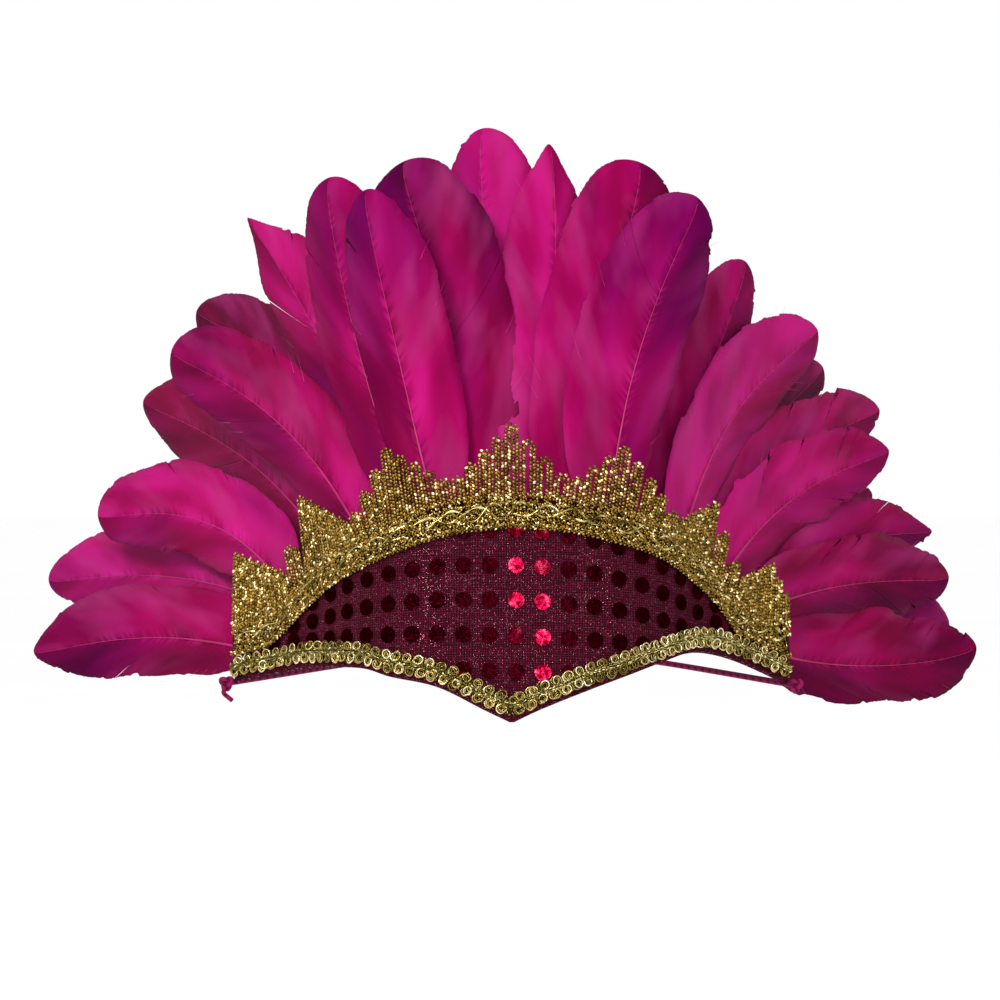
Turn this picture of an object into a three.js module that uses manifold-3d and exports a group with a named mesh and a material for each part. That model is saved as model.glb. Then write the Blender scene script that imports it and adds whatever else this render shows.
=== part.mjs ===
// Carnival feather headdress, in millimetres, +Z up.
// The wearer faces -Y. The origin is the middle of the head, level with the lower corners of the plate.
import * as THREE from "three";
import { mergeVertices } from "three/addons/utils/BufferGeometryUtils.js";
import Module from "manifold-3d";

// Plate
const PLATE_HALF_SPAN = 131; // centre to a lower corner, measured round the bend
const PLATE_HEIGHT = 88; // centre point of the hem to the top edge
const PLATE_THICKNESS = 2.4;
const PLATE_BEHIND = 13; // height of the plate behind the foot of the lace
const PLATE_END_BEHIND = 28; // the same at its ends
const FRONT_Y = -97; // front of the plate at the centre point
const ORIGIN_RISE = 11; // height of the origin above the centre point
const LEAN_BACK = 12; // degrees, top of the plate toward the back

// Bend of the plate seen from above
const FRONT_RADIUS = 180;
const FRONT_LENGTH = 25; // each side of the centre
const TEMPLE_RADIUS = 76;
const TEMPLE_LENGTH = 50;
const WING_TURN = 19.6; // degrees by which the ends flare out again
const WING_LENGTH = 45;

// Trims
const TRIM_GAP = 0.3;
const BRAID_WIDTH = 8;
const BRAID_THICKNESS = 1.7;
const BRAID_LOOP = 2.8; // half the pitch of the edge scallops
const RIM_SHOW = 2; // cloth rim below the braid
const LACE_HEIGHT = 42; // foot of the lace to its centre crest
const LACE_BAND = 17;
const LACE_THICKNESS = 1.1;
const LACE_RELIEF = 0.5;
const LACE_SLIT = 0.9;
const LACE_FINGERS = 8; // in each scallop
const LACE_SPLAY = 0.09;

// Sequins
const SEQUIN_DIAMETER = 6.4;
const SEQUIN_PITCH = 10.2;
const SEQUIN_ROW_PITCH = 13.8;
const SEQUIN_RAISE = 0.5;
const SEQUIN_SHIFT = 1.7; // middle column off the centre line
const SEQUIN_LOW_ROW = 19.9; // lowest row above the centre point
const SEQUIN_TILT = 0.037; // rise lost per millimetre to the right
const SEQUIN_DROOP = 0.24; // share of the height of a row lost at the corners

// Feathers
const FEATHER_LENGTH = 170;
const FEATHER_WIDTH = 40;
const QUILL_DIAMETER = 2;
const VANE_THICKNESS = 0.9;
const VANE_CAMBER = 1.4;
const FEATHER_CURL = 16; // degrees, forward along the length
const ROW_DEPTH = 3.2; // from one glued row to the next behind it
const BACK_GAP = 0.3;

// Cord elastic
const ELASTIC_DIAMETER = 2.6;
const KNOT_DIAMETER = 5.6;
const HEAD_WIDTH = 150;
const HEAD_DEPTH = 190;

// Heights of the middle of the braid and of the foot of the lace on both sides.
// out is a share of PLATE_HALF_SPAN, the heights are shares of PLATE_HEIGHT.
const HEM = [
  { out: 0, left: 0.074, right: 0.074 },
  { out: 0.08, left: 0.13, right: 0.13 },
  { out: 0.22, left: 0.232, right: 0.214 },
  { out: 0.38, left: 0.288, right: 0.303 },
  { out: 0.47, left: 0.33, right: 0.352 },
  { out: 0.6, left: 0.352, right: 0.414 },
  { out: 0.7, left: 0.362, right: 0.424 },
  { out: 0.82, left: 0.352, right: 0.396 },
  { out: 1, left: 0.318, right: 0.308 },
];
const ARCH = [
  { out: 0, left: 0.86, right: 0.86 },
  { out: 0.17, left: 0.833, right: 0.842 },
  { out: 0.31, left: 0.78, right: 0.806 },
  { out: 0.46, left: 0.712, right: 0.758 },
  { out: 0.6, left: 0.648, right: 0.677 },
  { out: 0.72, left: 0.55, right: 0.573 },
  { out: 0.8, left: 0.462, right: 0.447 },
  { out: 0.9, left: 0.366, right: 0.37 },
  { out: 1, left: 0.318, right: 0.318 },
];

// Crests and valleys of the lace. at is a share of PLATE_HALF_SPAN, rise a share of LACE_HEIGHT
// above the foot of the lace. Crests and valleys take turns, and the first and last rows are crests.
const LACE = [
  { at: -1, rise: 1.05 },
  { at: -0.807, rise: 0.63 },
  { at: -0.74, rise: 1.2 },
  { at: -0.522, rise: 0.51 },
  { at: -0.384, rise: 1.05 },
  { at: -0.178, rise: 0.5 },
  { at: 0, rise: 1 },
  { at: 0.175, rise: 0.48 },
  { at: 0.344, rise: 0.95 },
  { at: 0.547, rise: 0.5 },
  { at: 0.718, rise: 1.03 },
  { at: 0.818, rise: 0.6 },
  { at: 0.939, rise: 0.89 },
];
const LACE_END_RISE = 0.6;

// Feathers from left to right, then the short ones of the rear.
// at and rise place the end of the quill, as shares of PLATE_HALF_SPAN and PLATE_HEIGHT.
// turn is the angle from upright half way along, bend how far that angle grows from end to end,
// lean the angle behind the plate, row the glued row with 0 in front, and point how sharp the tip is.
const PLUMAGE = [
  { at: -0.87, rise: 0.375, turn: -86, bend: -39, length: 0.78, width: 1, lean: 0, row: 0, point: 0.5 },
  { at: -0.81, rise: 0.57, turn: -79, bend: -33, length: 1.04, width: 0.95, lean: 8.5, row: 1, point: 0.2 },
  { at: -0.785, rise: 0.6, turn: -67, bend: -66, length: 0.84, width: 1, lean: 3, row: 0, point: 0.1 },
  { at: -0.58, rise: 0.713, turn: -57, bend: -31, length: 1.13, width: 1.25, lean: 2, row: 0, point: 0.6 },
  { at: -0.458, rise: 0.768, turn: -48, bend: -40, length: 0.95, width: 1, lean: 1, row: 0, point: 0.1 },
  { at: -0.532, rise: 0.737, turn: -43.5, bend: -48, length: 1.18, width: 0.9, lean: 4.6, row: 2, point: 0.2 },
  { at: -0.416, rise: 0.79, turn: -30, bend: -25, length: 1.16, width: 0.98, lean: 8, row: 1, point: 0.9 },
  { at: -0.266, rise: 0.835, turn: -16.5, bend: 13, length: 0.98, width: 0.95, lean: 3.5, row: 0, point: 0.1 },
  { at: -0.2, rise: 0.81, turn: -13, bend: -2, length: 0.9, width: 0.95, lean: 0.5, row: 0, point: 0.3 },
  { at: -0.133, rise: 0.84, turn: -10, bend: -23, length: 0.99, width: 1.2, lean: 4.8, row: 1, point: 0 },
  { at: -0.045, rise: 0.87, turn: -2, bend: -10, length: 1.08, width: 1.12, lean: 9, row: 1, point: 0.2 },
  { at: 0.063, rise: 0.865, turn: 3, bend: -5, length: 1, width: 0.95, lean: 5.5, row: 1, point: 0.7 },
  { at: 0.156, rise: 0.835, turn: 12, bend: 9, length: 0.98, width: 1.1, lean: 4, row: 0, point: 0 },
  { at: 0.29, rise: 0.815, turn: 16.2, bend: 28, length: 0.92, width: 1.1, lean: 0, row: 0, point: 0.2 },
  { at: 0.45, rise: 0.82, turn: 29, bend: -6, length: 0.96, width: 1, lean: 7, row: 2, point: 0.3 },
  { at: 0.575, rise: 0.75, turn: 41.5, bend: 40, length: 0.99, width: 1, lean: 1, row: 0, point: 0.3 },
  { at: 0.626, rise: 0.705, turn: 47, bend: 19, length: 1.03, width: 0.9, lean: 7, row: 1, point: 0.2 },
  { at: 0.683, rise: 0.685, turn: 54, bend: 38, length: 1.01, width: 0.95, lean: 3.7, row: 1, point: 0.4 },
  { at: 0.732, rise: 0.65, turn: 56, bend: 41, length: 0.82, width: 0.95, lean: 1, row: 0, point: 0.5 },
  { at: 0.785, rise: 0.61, turn: 61, bend: 21, length: 0.83, width: 0.8, lean: 11.5, row: 2, point: 0.3 },
  { at: 0.818, rise: 0.6, turn: 70, bend: 43, length: 0.83, width: 0.95, lean: 5, row: 1, point: 0.8 },
  { at: 0.82, rise: 0.54, turn: 77, bend: 29, length: 0.79, width: 0.9, lean: 3, row: 0, point: 0.2 },
  { at: 0.89, rise: 0.47, turn: 83, bend: 36, length: 0.78, width: 0.9, lean: 9, row: 2, point: 0.3 },
  { at: 0.858, rise: 0.43, turn: 87, bend: -17, length: 0.75, width: 1.02, lean: 0, row: 0, point: 0.4 },
  { at: -0.84, rise: 0.54, turn: -76, bend: -40, length: 0.72, width: 0.9, lean: 16, row: 2, point: 0.3 },
  { at: -0.66, rise: 0.68, turn: -60, bend: -40, length: 0.84, width: 0.9, lean: 13, row: 1, point: 0.3 },
  { at: -0.3, rise: 0.8, turn: -20, bend: -10, length: 0.84, width: 0.9, lean: 15, row: 2, point: 0.3 },
  { at: -0.1, rise: 0.8, turn: -4, bend: -6, length: 0.86, width: 0.95, lean: 17, row: 2, point: 0.3 },
  { at: 0.11, rise: 0.8, turn: 7, bend: 6, length: 0.88, width: 0.95, lean: 12, row: 2, point: 0.3 },
  { at: 0.35, rise: 0.79, turn: 23, bend: 12, length: 0.84, width: 0.95, lean: 14, row: 2, point: 0.3 },
  { at: 0.54, rise: 0.77, turn: 38, bend: 30, length: 0.86, width: 0.9, lean: 16, row: 2, point: 0.3 },
  { at: 0.72, rise: 0.7, turn: 57, bend: 34, length: 0.8, width: 0.9, lean: 14, row: 2, point: 0.3 },
];

// Half width of the vane along the feather, as shares of its length and of its half width.
const VANE = [
  { along: 0, round: 0, sharp: 0 },
  { along: 0.03, round: 0, sharp: 0 },
  { along: 0.09, round: 0, sharp: 0 },
  { along: 0.16, round: 0.5, sharp: 0.5 },
  { along: 0.27, round: 0.82, sharp: 0.82 },
  { along: 0.43, round: 0.96, sharp: 0.97 },
  { along: 0.62, round: 1, sharp: 0.98 },
  { along: 0.78, round: 0.96, sharp: 0.8 },
  { along: 0.89, round: 0.82, sharp: 0.5 },
  { along: 0.96, round: 0.56, sharp: 0.25 },
  { along: 1, round: 0.16, sharp: 0.03 },
];

const radians = THREE.MathUtils.degToRad;
const lerp = THREE.MathUtils.lerp;
const UP = new THREE.Vector3(0, 0, 1);

// Plan of the plate: place, tangent and outward normal at a length u from the centre
const ARCS = [
  { length: FRONT_LENGTH, turn: FRONT_LENGTH / FRONT_RADIUS },
  { length: TEMPLE_LENGTH, turn: TEMPLE_LENGTH / TEMPLE_RADIUS },
  { length: WING_LENGTH, turn: -radians(WING_TURN) },
  { length: 1000, turn: 0 },
];

function plan(u) {
  let left = Math.abs(u);
  let x = 0;
  let y = 0;
  let angle = 0;
  for (const arc of ARCS) {
    const run = Math.min(left, arc.length);
    const turn = (arc.turn * run) / arc.length;
    const chord = turn === 0 ? run : (2 * run * Math.sin(turn / 2)) / turn;
    x += chord * Math.cos(angle + turn / 2);
    y += chord * Math.sin(angle + turn / 2);
    angle += turn;
    left -= run;
    if (left <= 0) break;
  }
  const side = u < 0 ? -1 : 1;
  return { x: side * x, y, angle: side * angle };
}

// Leans a point drawn round an upright plan back to where it is worn.
function worn(x, y, z) {
  const a = radians(LEAN_BACK);
  return new THREE.Vector3(
    x,
    FRONT_Y + y * Math.cos(a) + z * Math.sin(a),
    z * Math.cos(a) - y * Math.sin(a) - ORIGIN_RISE,
  );
}

// A point of the flat pattern, u along the bend, v up it and w out from the cloth.
function bent(u, v, w) {
  const at = plan(u);
  return worn(at.x + w * Math.sin(at.angle), at.y - w * Math.cos(at.angle), v);
}

// Smooth value between the rows of a table.
function smooth(rows, key, column, x) {
  let i = 0;
  while (i < rows.length - 2 && x > rows[i + 1][key]) i += 1;
  const slope = (j) => {
    const a = rows[Math.max(0, j - 1)];
    const b = rows[Math.min(rows.length - 1, j + 1)];
    return (b[column] - a[column]) / (b[key] - a[key]);
  };
  const run = rows[i + 1][key] - rows[i][key];
  const t = THREE.MathUtils.clamp((x - rows[i][key]) / run, 0, 1);
  const t2 = t * t;
  const t3 = t2 * t;
  return (
    (2 * t3 - 3 * t2 + 1) * rows[i][column] +
    (t3 - 2 * t2 + t) * run * slope(i) +
    (3 * t2 - 2 * t3) * rows[i + 1][column] +
    (t3 - t2) * run * slope(i + 1)
  );
}

function height(rows, u) {
  const out = Math.abs(u) / PLATE_HALF_SPAN;
  return PLATE_HEIGHT * smooth(rows, "out", u < 0 ? "left" : "right", out);
}

const hem = (u) => height(HEM, u);
const braidTop = (u) => hem(u) + BRAID_WIDTH / 2;
const foot = (u) => Math.max(height(ARCH, u), braidTop(u) + TRIM_GAP);
const plateTop = (u) => {
  const end = THREE.MathUtils.smoothstep(Math.abs(u) / PLATE_HALF_SPAN, 0.6, 1);
  return foot(u) + lerp(PLATE_BEHIND, PLATE_END_BEHIND, end);
};
const plateLow = (u) => hem(u) - BRAID_WIDTH / 2 - RIM_SHOW;

// One closed body from cells drawn on the flat pattern. A corner is [u, v, back, front].
function bentBody(corners, cells) {
  const count = corners.length;
  const positions = [];
  for (const side of [3, 2]) {
    for (const c of corners) positions.push(...bent(c[0], c[1], c[side]).toArray());
  }
  const index = [];
  const edges = new Map();
  for (const cell of cells) {
    for (let i = 1; i < cell.length - 1; i += 1) {
      index.push(cell[0], cell[i], cell[i + 1]);
      index.push(cell[0] + count, cell[i + 1] + count, cell[i] + count);
    }
    cell.forEach((a, i) => {
      const b = cell[(i + 1) % cell.length];
      if (edges.has(`${b},${a}`)) edges.delete(`${b},${a}`);
      else edges.set(`${a},${b}`, [a, b]);
    });
  }
  for (const [a, b] of edges.values()) {
    index.push(a, a + count, b + count);
    index.push(a, b + count, b);
  }
  return geometryFrom(positions, index);
}

function geometryFrom(positions, index) {
  const geometry = new THREE.BufferGeometry();
  geometry.setAttribute("position", new THREE.Float32BufferAttribute(positions, 3));
  geometry.setIndex(index);
  return geometry;
}

// Rows of corners joined to a grid of cells.
function gridCells(columns, rows, first = 0) {
  const cells = [];
  for (let i = 0; i < columns - 1; i += 1) {
    for (let j = 0; j < rows - 1; j += 1) {
      const a = first + i * rows + j;
      cells.push([a, a + rows, a + rows + 1, a + 1]);
    }
  }
  return cells;
}

const wasm = await Module();
wasm.setup();

function toSolid(geometry) {
  const bare = geometry.clone();
  bare.deleteAttribute("normal");
  bare.deleteAttribute("uv");
  const merged = mergeVertices(bare, 1e-4);
  return new wasm.Manifold(
    new wasm.Mesh({
      numProp: 3,
      vertProperties: new Float32Array(merged.attributes.position.array),
      triVerts: new Uint32Array(merged.index.array),
    }),
  );
}

function fromSolid(solid) {
  const mesh = solid.getMesh();
  return geometryFrom(Array.from(mesh.vertProperties), Array.from(mesh.triVerts));
}

// Front plate with its sequins
function plateSheet() {
  const columns = 49;
  const rows = 5;
  const corners = [];
  for (let i = 0; i < columns; i += 1) {
    const u = lerp(-PLATE_HALF_SPAN, PLATE_HALF_SPAN, i / (columns - 1));
    for (let j = 0; j < rows; j += 1) {
      const v = lerp(plateLow(u), plateTop(u), j / (rows - 1));
      corners.push([u, v, -PLATE_THICKNESS, 0]);
    }
  }
  return bentBody(corners, gridCells(columns, rows));
}

function sequin(u, v) {
  const sides = 8;
  const radius = SEQUIN_DIAMETER / 2;
  const positions = [];
  for (const [share, w] of [[1, -0.6], [0.92, SEQUIN_RAISE]]) {
    for (let i = 0; i < sides; i += 1) {
      const a = ((i + 0.5) * 2 * Math.PI) / sides;
      const r = share * radius;
      positions.push(...bent(u + r * Math.cos(a), v + r * Math.sin(a), w).toArray());
    }
  }
  const index = [];
  for (let i = 1; i < sides - 1; i += 1) {
    index.push(0, i + 1, i);
    index.push(sides, sides + i, sides + i + 1);
  }
  for (let i = 0; i < sides; i += 1) {
    const next = (i + 1) % sides;
    index.push(i, next, next + sides);
    index.push(i, next + sides, i + sides);
  }
  return geometryFrom(positions, index);
}

function sequinPlaces() {
  const places = [];
  const radius = SEQUIN_DIAMETER / 2;
  const across = Math.floor(PLATE_HALF_SPAN / SEQUIN_PITCH);
  const up = Math.floor(PLATE_HEIGHT / SEQUIN_ROW_PITCH);
  for (let row = 0; row <= up; row += 1) {
    for (let k = -across; k <= across; k += 1) {
      const u = SEQUIN_SHIFT + k * SEQUIN_PITCH;
      const level = SEQUIN_LOW_ROW + row * SEQUIN_ROW_PITCH;
      const side = u / PLATE_HALF_SPAN;
      const v = level - SEQUIN_TILT * u - 4 * SEQUIN_DROOP * side * side * (level - 2.4 * SEQUIN_ROW_PITCH);
      const low = Math.max(braidTop(u - radius), braidTop(u + radius), braidTop(u));
      const high = Math.min(foot(u - radius), foot(u + radius), foot(u));
      if (v - radius > low + TRIM_GAP && v + radius < high - TRIM_GAP) places.push([u, v]);
    }
  }
  return places;
}

function frontPlate() {
  const discs = sequinPlaces().map(([u, v]) => toSolid(sequin(u, v)));
  return fromSolid(discs.reduce((solid, disc) => solid.add(disc), toSolid(plateSheet())));
}

// Gold braid along the hem
function hemBraid() {
  const lines = [
    { off: -0.5, front: 0.6 },
    { off: -0.24, front: 1 },
    { off: 0.24, front: 1 },
    { off: 0.5, front: 0.6 },
  ];
  const half = Math.round(PLATE_HALF_SPAN / BRAID_LOOP);
  const corners = [];
  for (let i = -half; i <= half; i += 1) {
    const u = (PLATE_HALF_SPAN * i) / half;
    const inset = i % 2 === 0 ? 0.88 : 1;
    for (const line of lines) {
      const edge = Math.abs(line.off) === 0.5 ? inset : 1;
      const v = hem(u) + line.off * edge * BRAID_WIDTH;
      corners.push([u, v, TRIM_GAP, TRIM_GAP + line.front * BRAID_THICKNESS]);
    }
  }
  return bentBody(corners, gridCells(2 * half + 1, lines.length));
}

// Scalloped lace along the arch
const bandTop = (u) => foot(u) + LACE_BAND;
const baseOf = (u) => u * (1 - LACE_SPLAY * Math.sin((Math.PI * Math.abs(u)) / PLATE_HALF_SPAN));
const crest = (row) => foot(row.at * PLATE_HALF_SPAN) + row.rise * LACE_HEIGHT;

// Left and right side of each finger at its tip, and the height of the tip.
function laceFingers() {
  const end = { at: 1, rise: LACE_END_RISE };
  const valleys = [LACE[0], ...LACE.filter((row, i) => i % 2 === 1), end];
  const crests = LACE.filter((row, i) => i % 2 === 0);
  const fingers = [];
  crests.forEach((top, n) => {
    const a = valleys[n].at * PLATE_HALF_SPAN;
    const b = valleys[n + 1].at * PLATE_HALF_SPAN;
    const width = (b - a) / LACE_FINGERS;
    const p = THREE.MathUtils.clamp(top.at * PLATE_HALF_SPAN, a + width / 2, b - width / 2);
    const before = Math.round((p - width / 2 - a) / width);
    const after = Math.round((b - p - width / 2) / width);
    const start = before > 0 ? p - width / 2 : a;
    const stop = after > 0 ? p + width / 2 : b;
    for (let i = 0; i < before; i += 1) {
      const h = lerp(crest(valleys[n]), crest(top), (i + 0.5) / (before + 0.5));
      fingers.push([lerp(a, start, i / before), lerp(a, start, (i + 1) / before), h]);
    }
    fingers.push([start, stop, crest(top)]);
    for (let i = 0; i < after; i += 1) {
      const h = lerp(crest(top), crest(valleys[n + 1]), (i + 1) / (after + 0.5));
      fingers.push([lerp(stop, b, i / after), lerp(stop, b, (i + 1) / after), h]);
    }
  });
  return fingers;
}

function crownLace() {
  const corners = [];
  const cells = [];
  const back = TRIM_GAP;
  const flat = back + LACE_THICKNESS;
  const high = flat + LACE_RELIEF;
  const fingers = laceFingers();
  const rows = 3;
  const columns = [];
  for (const [left, right] of fingers) {
    const inset = LACE_SLIT / 2;
    const l = left <= -PLATE_HALF_SPAN ? left : baseOf(left) + inset;
    const r = right >= PLATE_HALF_SPAN ? right : baseOf(right) - inset;
    for (const u of [l, (l + r) / 2, r]) {
      columns.push(u);
      corners.push([u, foot(u), back, flat]);
      corners.push([u, foot(u) + 0.5 * LACE_BAND, back, high]);
      corners.push([u, bandTop(u), back, flat]);
    }
  }
  cells.push(...gridCells(columns.length, rows));
  fingers.forEach(([left, right, h], n) => {
    const width = right - left - LACE_SLIT;
    const foot3 = [0, 1, 2].map((k) => (3 * n + k) * rows + 2);
    const first = corners.length;
    [left + LACE_SLIT / 2, (left + right) / 2, right - LACE_SLIT / 2].forEach((u, k) => {
      corners.push([u, k === 1 ? h : h - 0.35 * width, back, k === 1 ? high : flat]);
    });
    for (let k = 0; k < 2; k += 1) cells.push([foot3[k], foot3[k + 1], first + k + 1, first + k]);
  });
  return bentBody(corners, cells);
}

// Feathers: sections along a rachis that bends in its own plane and curls forward.
// The end of the quill carries a fin of glue that reaches the back of the plate.
function feather(row) {
  const length = row.length * FEATHER_LENGTH;
  const half = (row.width * FEATHER_WIDTH) / 2;
  const quill = QUILL_DIAMETER / 2;
  const at = plan(row.at * PLATE_HALF_SPAN);
  const across = new THREE.Vector3(Math.cos(at.angle), Math.sin(at.angle), 0);
  const out = new THREE.Vector3(Math.sin(at.angle), -Math.cos(at.angle), 0);
  const glued = PLATE_THICKNESS + BACK_GAP + quill;
  const root = new THREE.Vector3(at.x, at.y, row.rise * PLATE_HEIGHT);
  const place = root.clone().addScaledVector(out, -glued - row.row * ROW_DEPTH);
  const positions = [];
  VANE.forEach((station, n) => {
    const turnAt = (share) => radians(row.turn + row.bend * (share - 0.5));
    const leanAt = (share) => radians(row.lean - FEATHER_CURL * (share - 0.5));
    const direction = (share) => {
      const rise = UP.clone().multiplyScalar(Math.cos(turnAt(share)));
      rise.addScaledVector(across, Math.sin(turnAt(share)));
      rise.multiplyScalar(Math.cos(leanAt(share)));
      return rise.addScaledVector(out, -Math.sin(leanAt(share)));
    };
    if (n > 0) {
      const before = VANE[n - 1].along;
      const run = (station.along - before) * length;
      place.addScaledVector(direction((station.along + before) / 2), run);
    }
    const along = direction(station.along);
    const side = new THREE.Vector3().crossVectors(along, out).normalize();
    const face = new THREE.Vector3().crossVectors(side, along).normalize();
    const reach = Math.max(quill, half * lerp(station.round, station.sharp, row.point));
    const taper = quill * lerp(1, 0.35, station.along);
    const thick = VANE_THICKNESS * (reach > quill ? 1 : QUILL_DIAMETER / VANE_THICKNESS);
    const camber = (VANE_CAMBER * reach * reach) / (half * half);
    const section = [
      [-1, -camber, 0],
      [-0.5, -camber / 4, -thick / 2],
      [0, 0, -Math.max(taper, thick / 2)],
      [0.5, -camber / 4, -thick / 2],
      [1, -camber, 0],
      [0.5, -camber / 4, thick / 2],
      [0, 0, Math.max(taper, thick / 2)],
      [-0.5, -camber / 4, thick / 2],
    ];
    const behind = root.clone().sub(place).dot(out) - glued;
    section.forEach(([share, bow, lift], i) => {
      const point = place.clone().addScaledVector(side, share * reach);
      point.addScaledVector(face, bow + lift);
      if (n < 2 && i > 4) point.addScaledVector(out, Math.max(0, behind));
      positions.push(...worn(point.x, point.y, point.z).toArray());
    });
  });
  const index = [];
  for (let n = 0; n < VANE.length - 1; n += 1) {
    for (let i = 0; i < 8; i += 1) {
      const a = 8 * n + i;
      const b = 8 * n + ((i + 1) % 8);
      index.push(a, b + 8, b);
      index.push(a, a + 8, b + 8);
    }
  }
  const last = 8 * (VANE.length - 1);
  for (let i = 1; i < 7; i += 1) {
    index.push(0, i, i + 1);
    index.push(last, last + i + 1, last + i);
  }
  return geometryFrom(positions, index);
}

// Cord elastic: from one corner round the back of the head to the other, knotted at both ends
function backElastic() {
  const reach = ELASTIC_DIAMETER / 2;
  const knot = KNOT_DIAMETER / 2;
  const knotAt = (side) => {
    const u = side * (PLATE_HALF_SPAN + TRIM_GAP + knot);
    return bent(u, plateLow(side * PLATE_HALF_SPAN), -PLATE_THICKNESS / 2);
  };
  const leftKnot = knotAt(-1);
  const rightKnot = knotAt(1);
  const points = [leftKnot];
  for (const degrees of [145, 125, 105, 90, 75, 55, 35]) {
    const a = radians(degrees);
    const x = (HEAD_WIDTH / 2 + reach) * Math.cos(a);
    const y = (HEAD_DEPTH / 2 + reach) * Math.sin(a);
    points.push(new THREE.Vector3(x, y, 0));
  }
  points.push(rightKnot);
  const path = new THREE.CatmullRomCurve3(points, false, "centripetal");
  const round = (radius) => {
    const shape = new THREE.Shape();
    for (let i = 0; i < 8; i += 1) {
      const a = (i * Math.PI) / 4;
      if (i === 0) shape.moveTo(radius, 0);
      else shape.lineTo(radius * Math.cos(a), radius * Math.sin(a));
    }
    return shape;
  };
  const tube = (curve, radius, steps) =>
    toSolid(new THREE.ExtrudeGeometry(round(radius), { steps, bevelEnabled: false, extrudePath: curve }));
  const ball = (centre) =>
    toSolid(new THREE.SphereGeometry(knot, 10, 6).translate(centre.x, centre.y, centre.z));
  const tailEnd = leftKnot.clone().add(new THREE.Vector3(2, 1, -2.6 * knot));
  const tailMiddle = leftKnot.clone().add(new THREE.Vector3(-1, 0, -1.3 * knot));
  const tail = new THREE.CatmullRomCurve3([leftKnot, tailMiddle, tailEnd], false, "centripetal");
  return fromSolid(
    tube(path, reach, 56).add(tube(tail, 0.9 * reach, 5)).add(ball(leftKnot)).add(ball(rightKnot)),
  );
}

const maroonCloth = new THREE.MeshStandardMaterial({ color: 0x4b0f28, roughness: 0.75, metalness: 0.1 });
const goldLace = new THREE.MeshStandardMaterial({ color: 0xb08a2c, roughness: 0.35, metalness: 0.9 });
const goldBraid = new THREE.MeshStandardMaterial({ color: 0xb9a650, roughness: 0.35, metalness: 0.9 });
const magentaCord = new THREE.MeshStandardMaterial({ color: 0x8f0a50, roughness: 0.8, metalness: 0 });
const magentaFeather = new THREE.MeshStandardMaterial({ color: 0xb8006a, roughness: 0.55, metalness: 0 });

const headdress = new THREE.Group();
headdress.name = "feather_headdress";

function addNode(name, geometry, material) {
  const mesh = new THREE.Mesh(geometry, material);
  mesh.name = name;
  headdress.add(mesh);
}

addNode("front_plate", frontPlate(), maroonCloth);
addNode("crown_lace", crownLace(), goldLace);
addNode("hem_braid", hemBraid(), goldBraid);
addNode("back_elastic", backElastic(), magentaCord);
PLUMAGE.forEach((row, i) => {
  addNode(`feather_${String(i + 1).padStart(2, "0")}`, feather(row), magentaFeather);
});

export default headdress;
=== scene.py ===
# Carnival feather headdress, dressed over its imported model. Metres, +Z up, the front faces -Y.
import math

import bmesh
import bpy
import numpy as np
from mathutils import Matrix, Vector


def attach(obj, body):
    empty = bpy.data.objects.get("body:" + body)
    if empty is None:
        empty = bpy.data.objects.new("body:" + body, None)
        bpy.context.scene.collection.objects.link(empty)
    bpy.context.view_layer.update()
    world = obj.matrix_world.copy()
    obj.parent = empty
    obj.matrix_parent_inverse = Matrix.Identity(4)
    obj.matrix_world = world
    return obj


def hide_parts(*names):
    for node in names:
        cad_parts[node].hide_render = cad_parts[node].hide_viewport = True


MM = 0.001

# Plate
PLATE_HALF_SPAN = 131
PLATE_HEIGHT = 88
PLATE_THICKNESS = 2.4
PLATE_BEHIND = 13
PLATE_END_BEHIND = 28
FRONT_Y = -97
ORIGIN_RISE = 11
LEAN_BACK = 12

# Bend of the plate seen from above: length and turn of each arc
ARCS = (
    (25, 25 / 180),
    (50, 50 / 76),
    (45, -math.radians(19.6)),
    (1000, 0),
)

# Trims
TRIM_GAP = 0.3
BRAID_WIDTH = 8
RIM_SHOW = 2
LACE_HEIGHT = 42
LACE_BAND = 17
LACE_LEG = 0.72
HAIRPIN_INSET = 1.35
LACE_FINGERS = 8
LACE_SPLAY = 0.09

# Sequins
SEQUIN_DIAMETER = 6.4
SEQUIN_PITCH = 10.2
SEQUIN_ROW_PITCH = 13.8
SEQUIN_SHIFT = 1.7
SEQUIN_LOW_ROW = 19.9
SEQUIN_TILT = 0.037
SEQUIN_DROOP = 0.24

# Painted glint of the sequins left and right of the centre, from the lowest row up: how much of the pale
# foil colour is painted on, standing in for how brightly they face the light
PAINTED_GLINT = (
    (0.04, 0.95),
    (0.22, 0.85),
    (0.75, 0.9),
    (0.85, 0.5),
    (0.3, 0.4),
)

# Feathers
FEATHER_LENGTH = 170
FEATHER_WIDTH = 40
QUILL_DIAMETER = 2
FEATHER_CAMBER = 2.0
FEATHER_CURL = 16
RAGGED_SIDE = 1.8
SHAFT_SHIFT = 0.2
BARBS = 110
BARB_CORNERS = 7
BARB_SWEEP = 0.3
ROW_DEPTH = 3.2
BACK_GAP = 0.3

# Cord elastic
ELASTIC_DIAMETER = 2.6
KNOT_DIAMETER = 5.6
HEAD_WIDTH = 150
HEAD_DEPTH = 190

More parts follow.
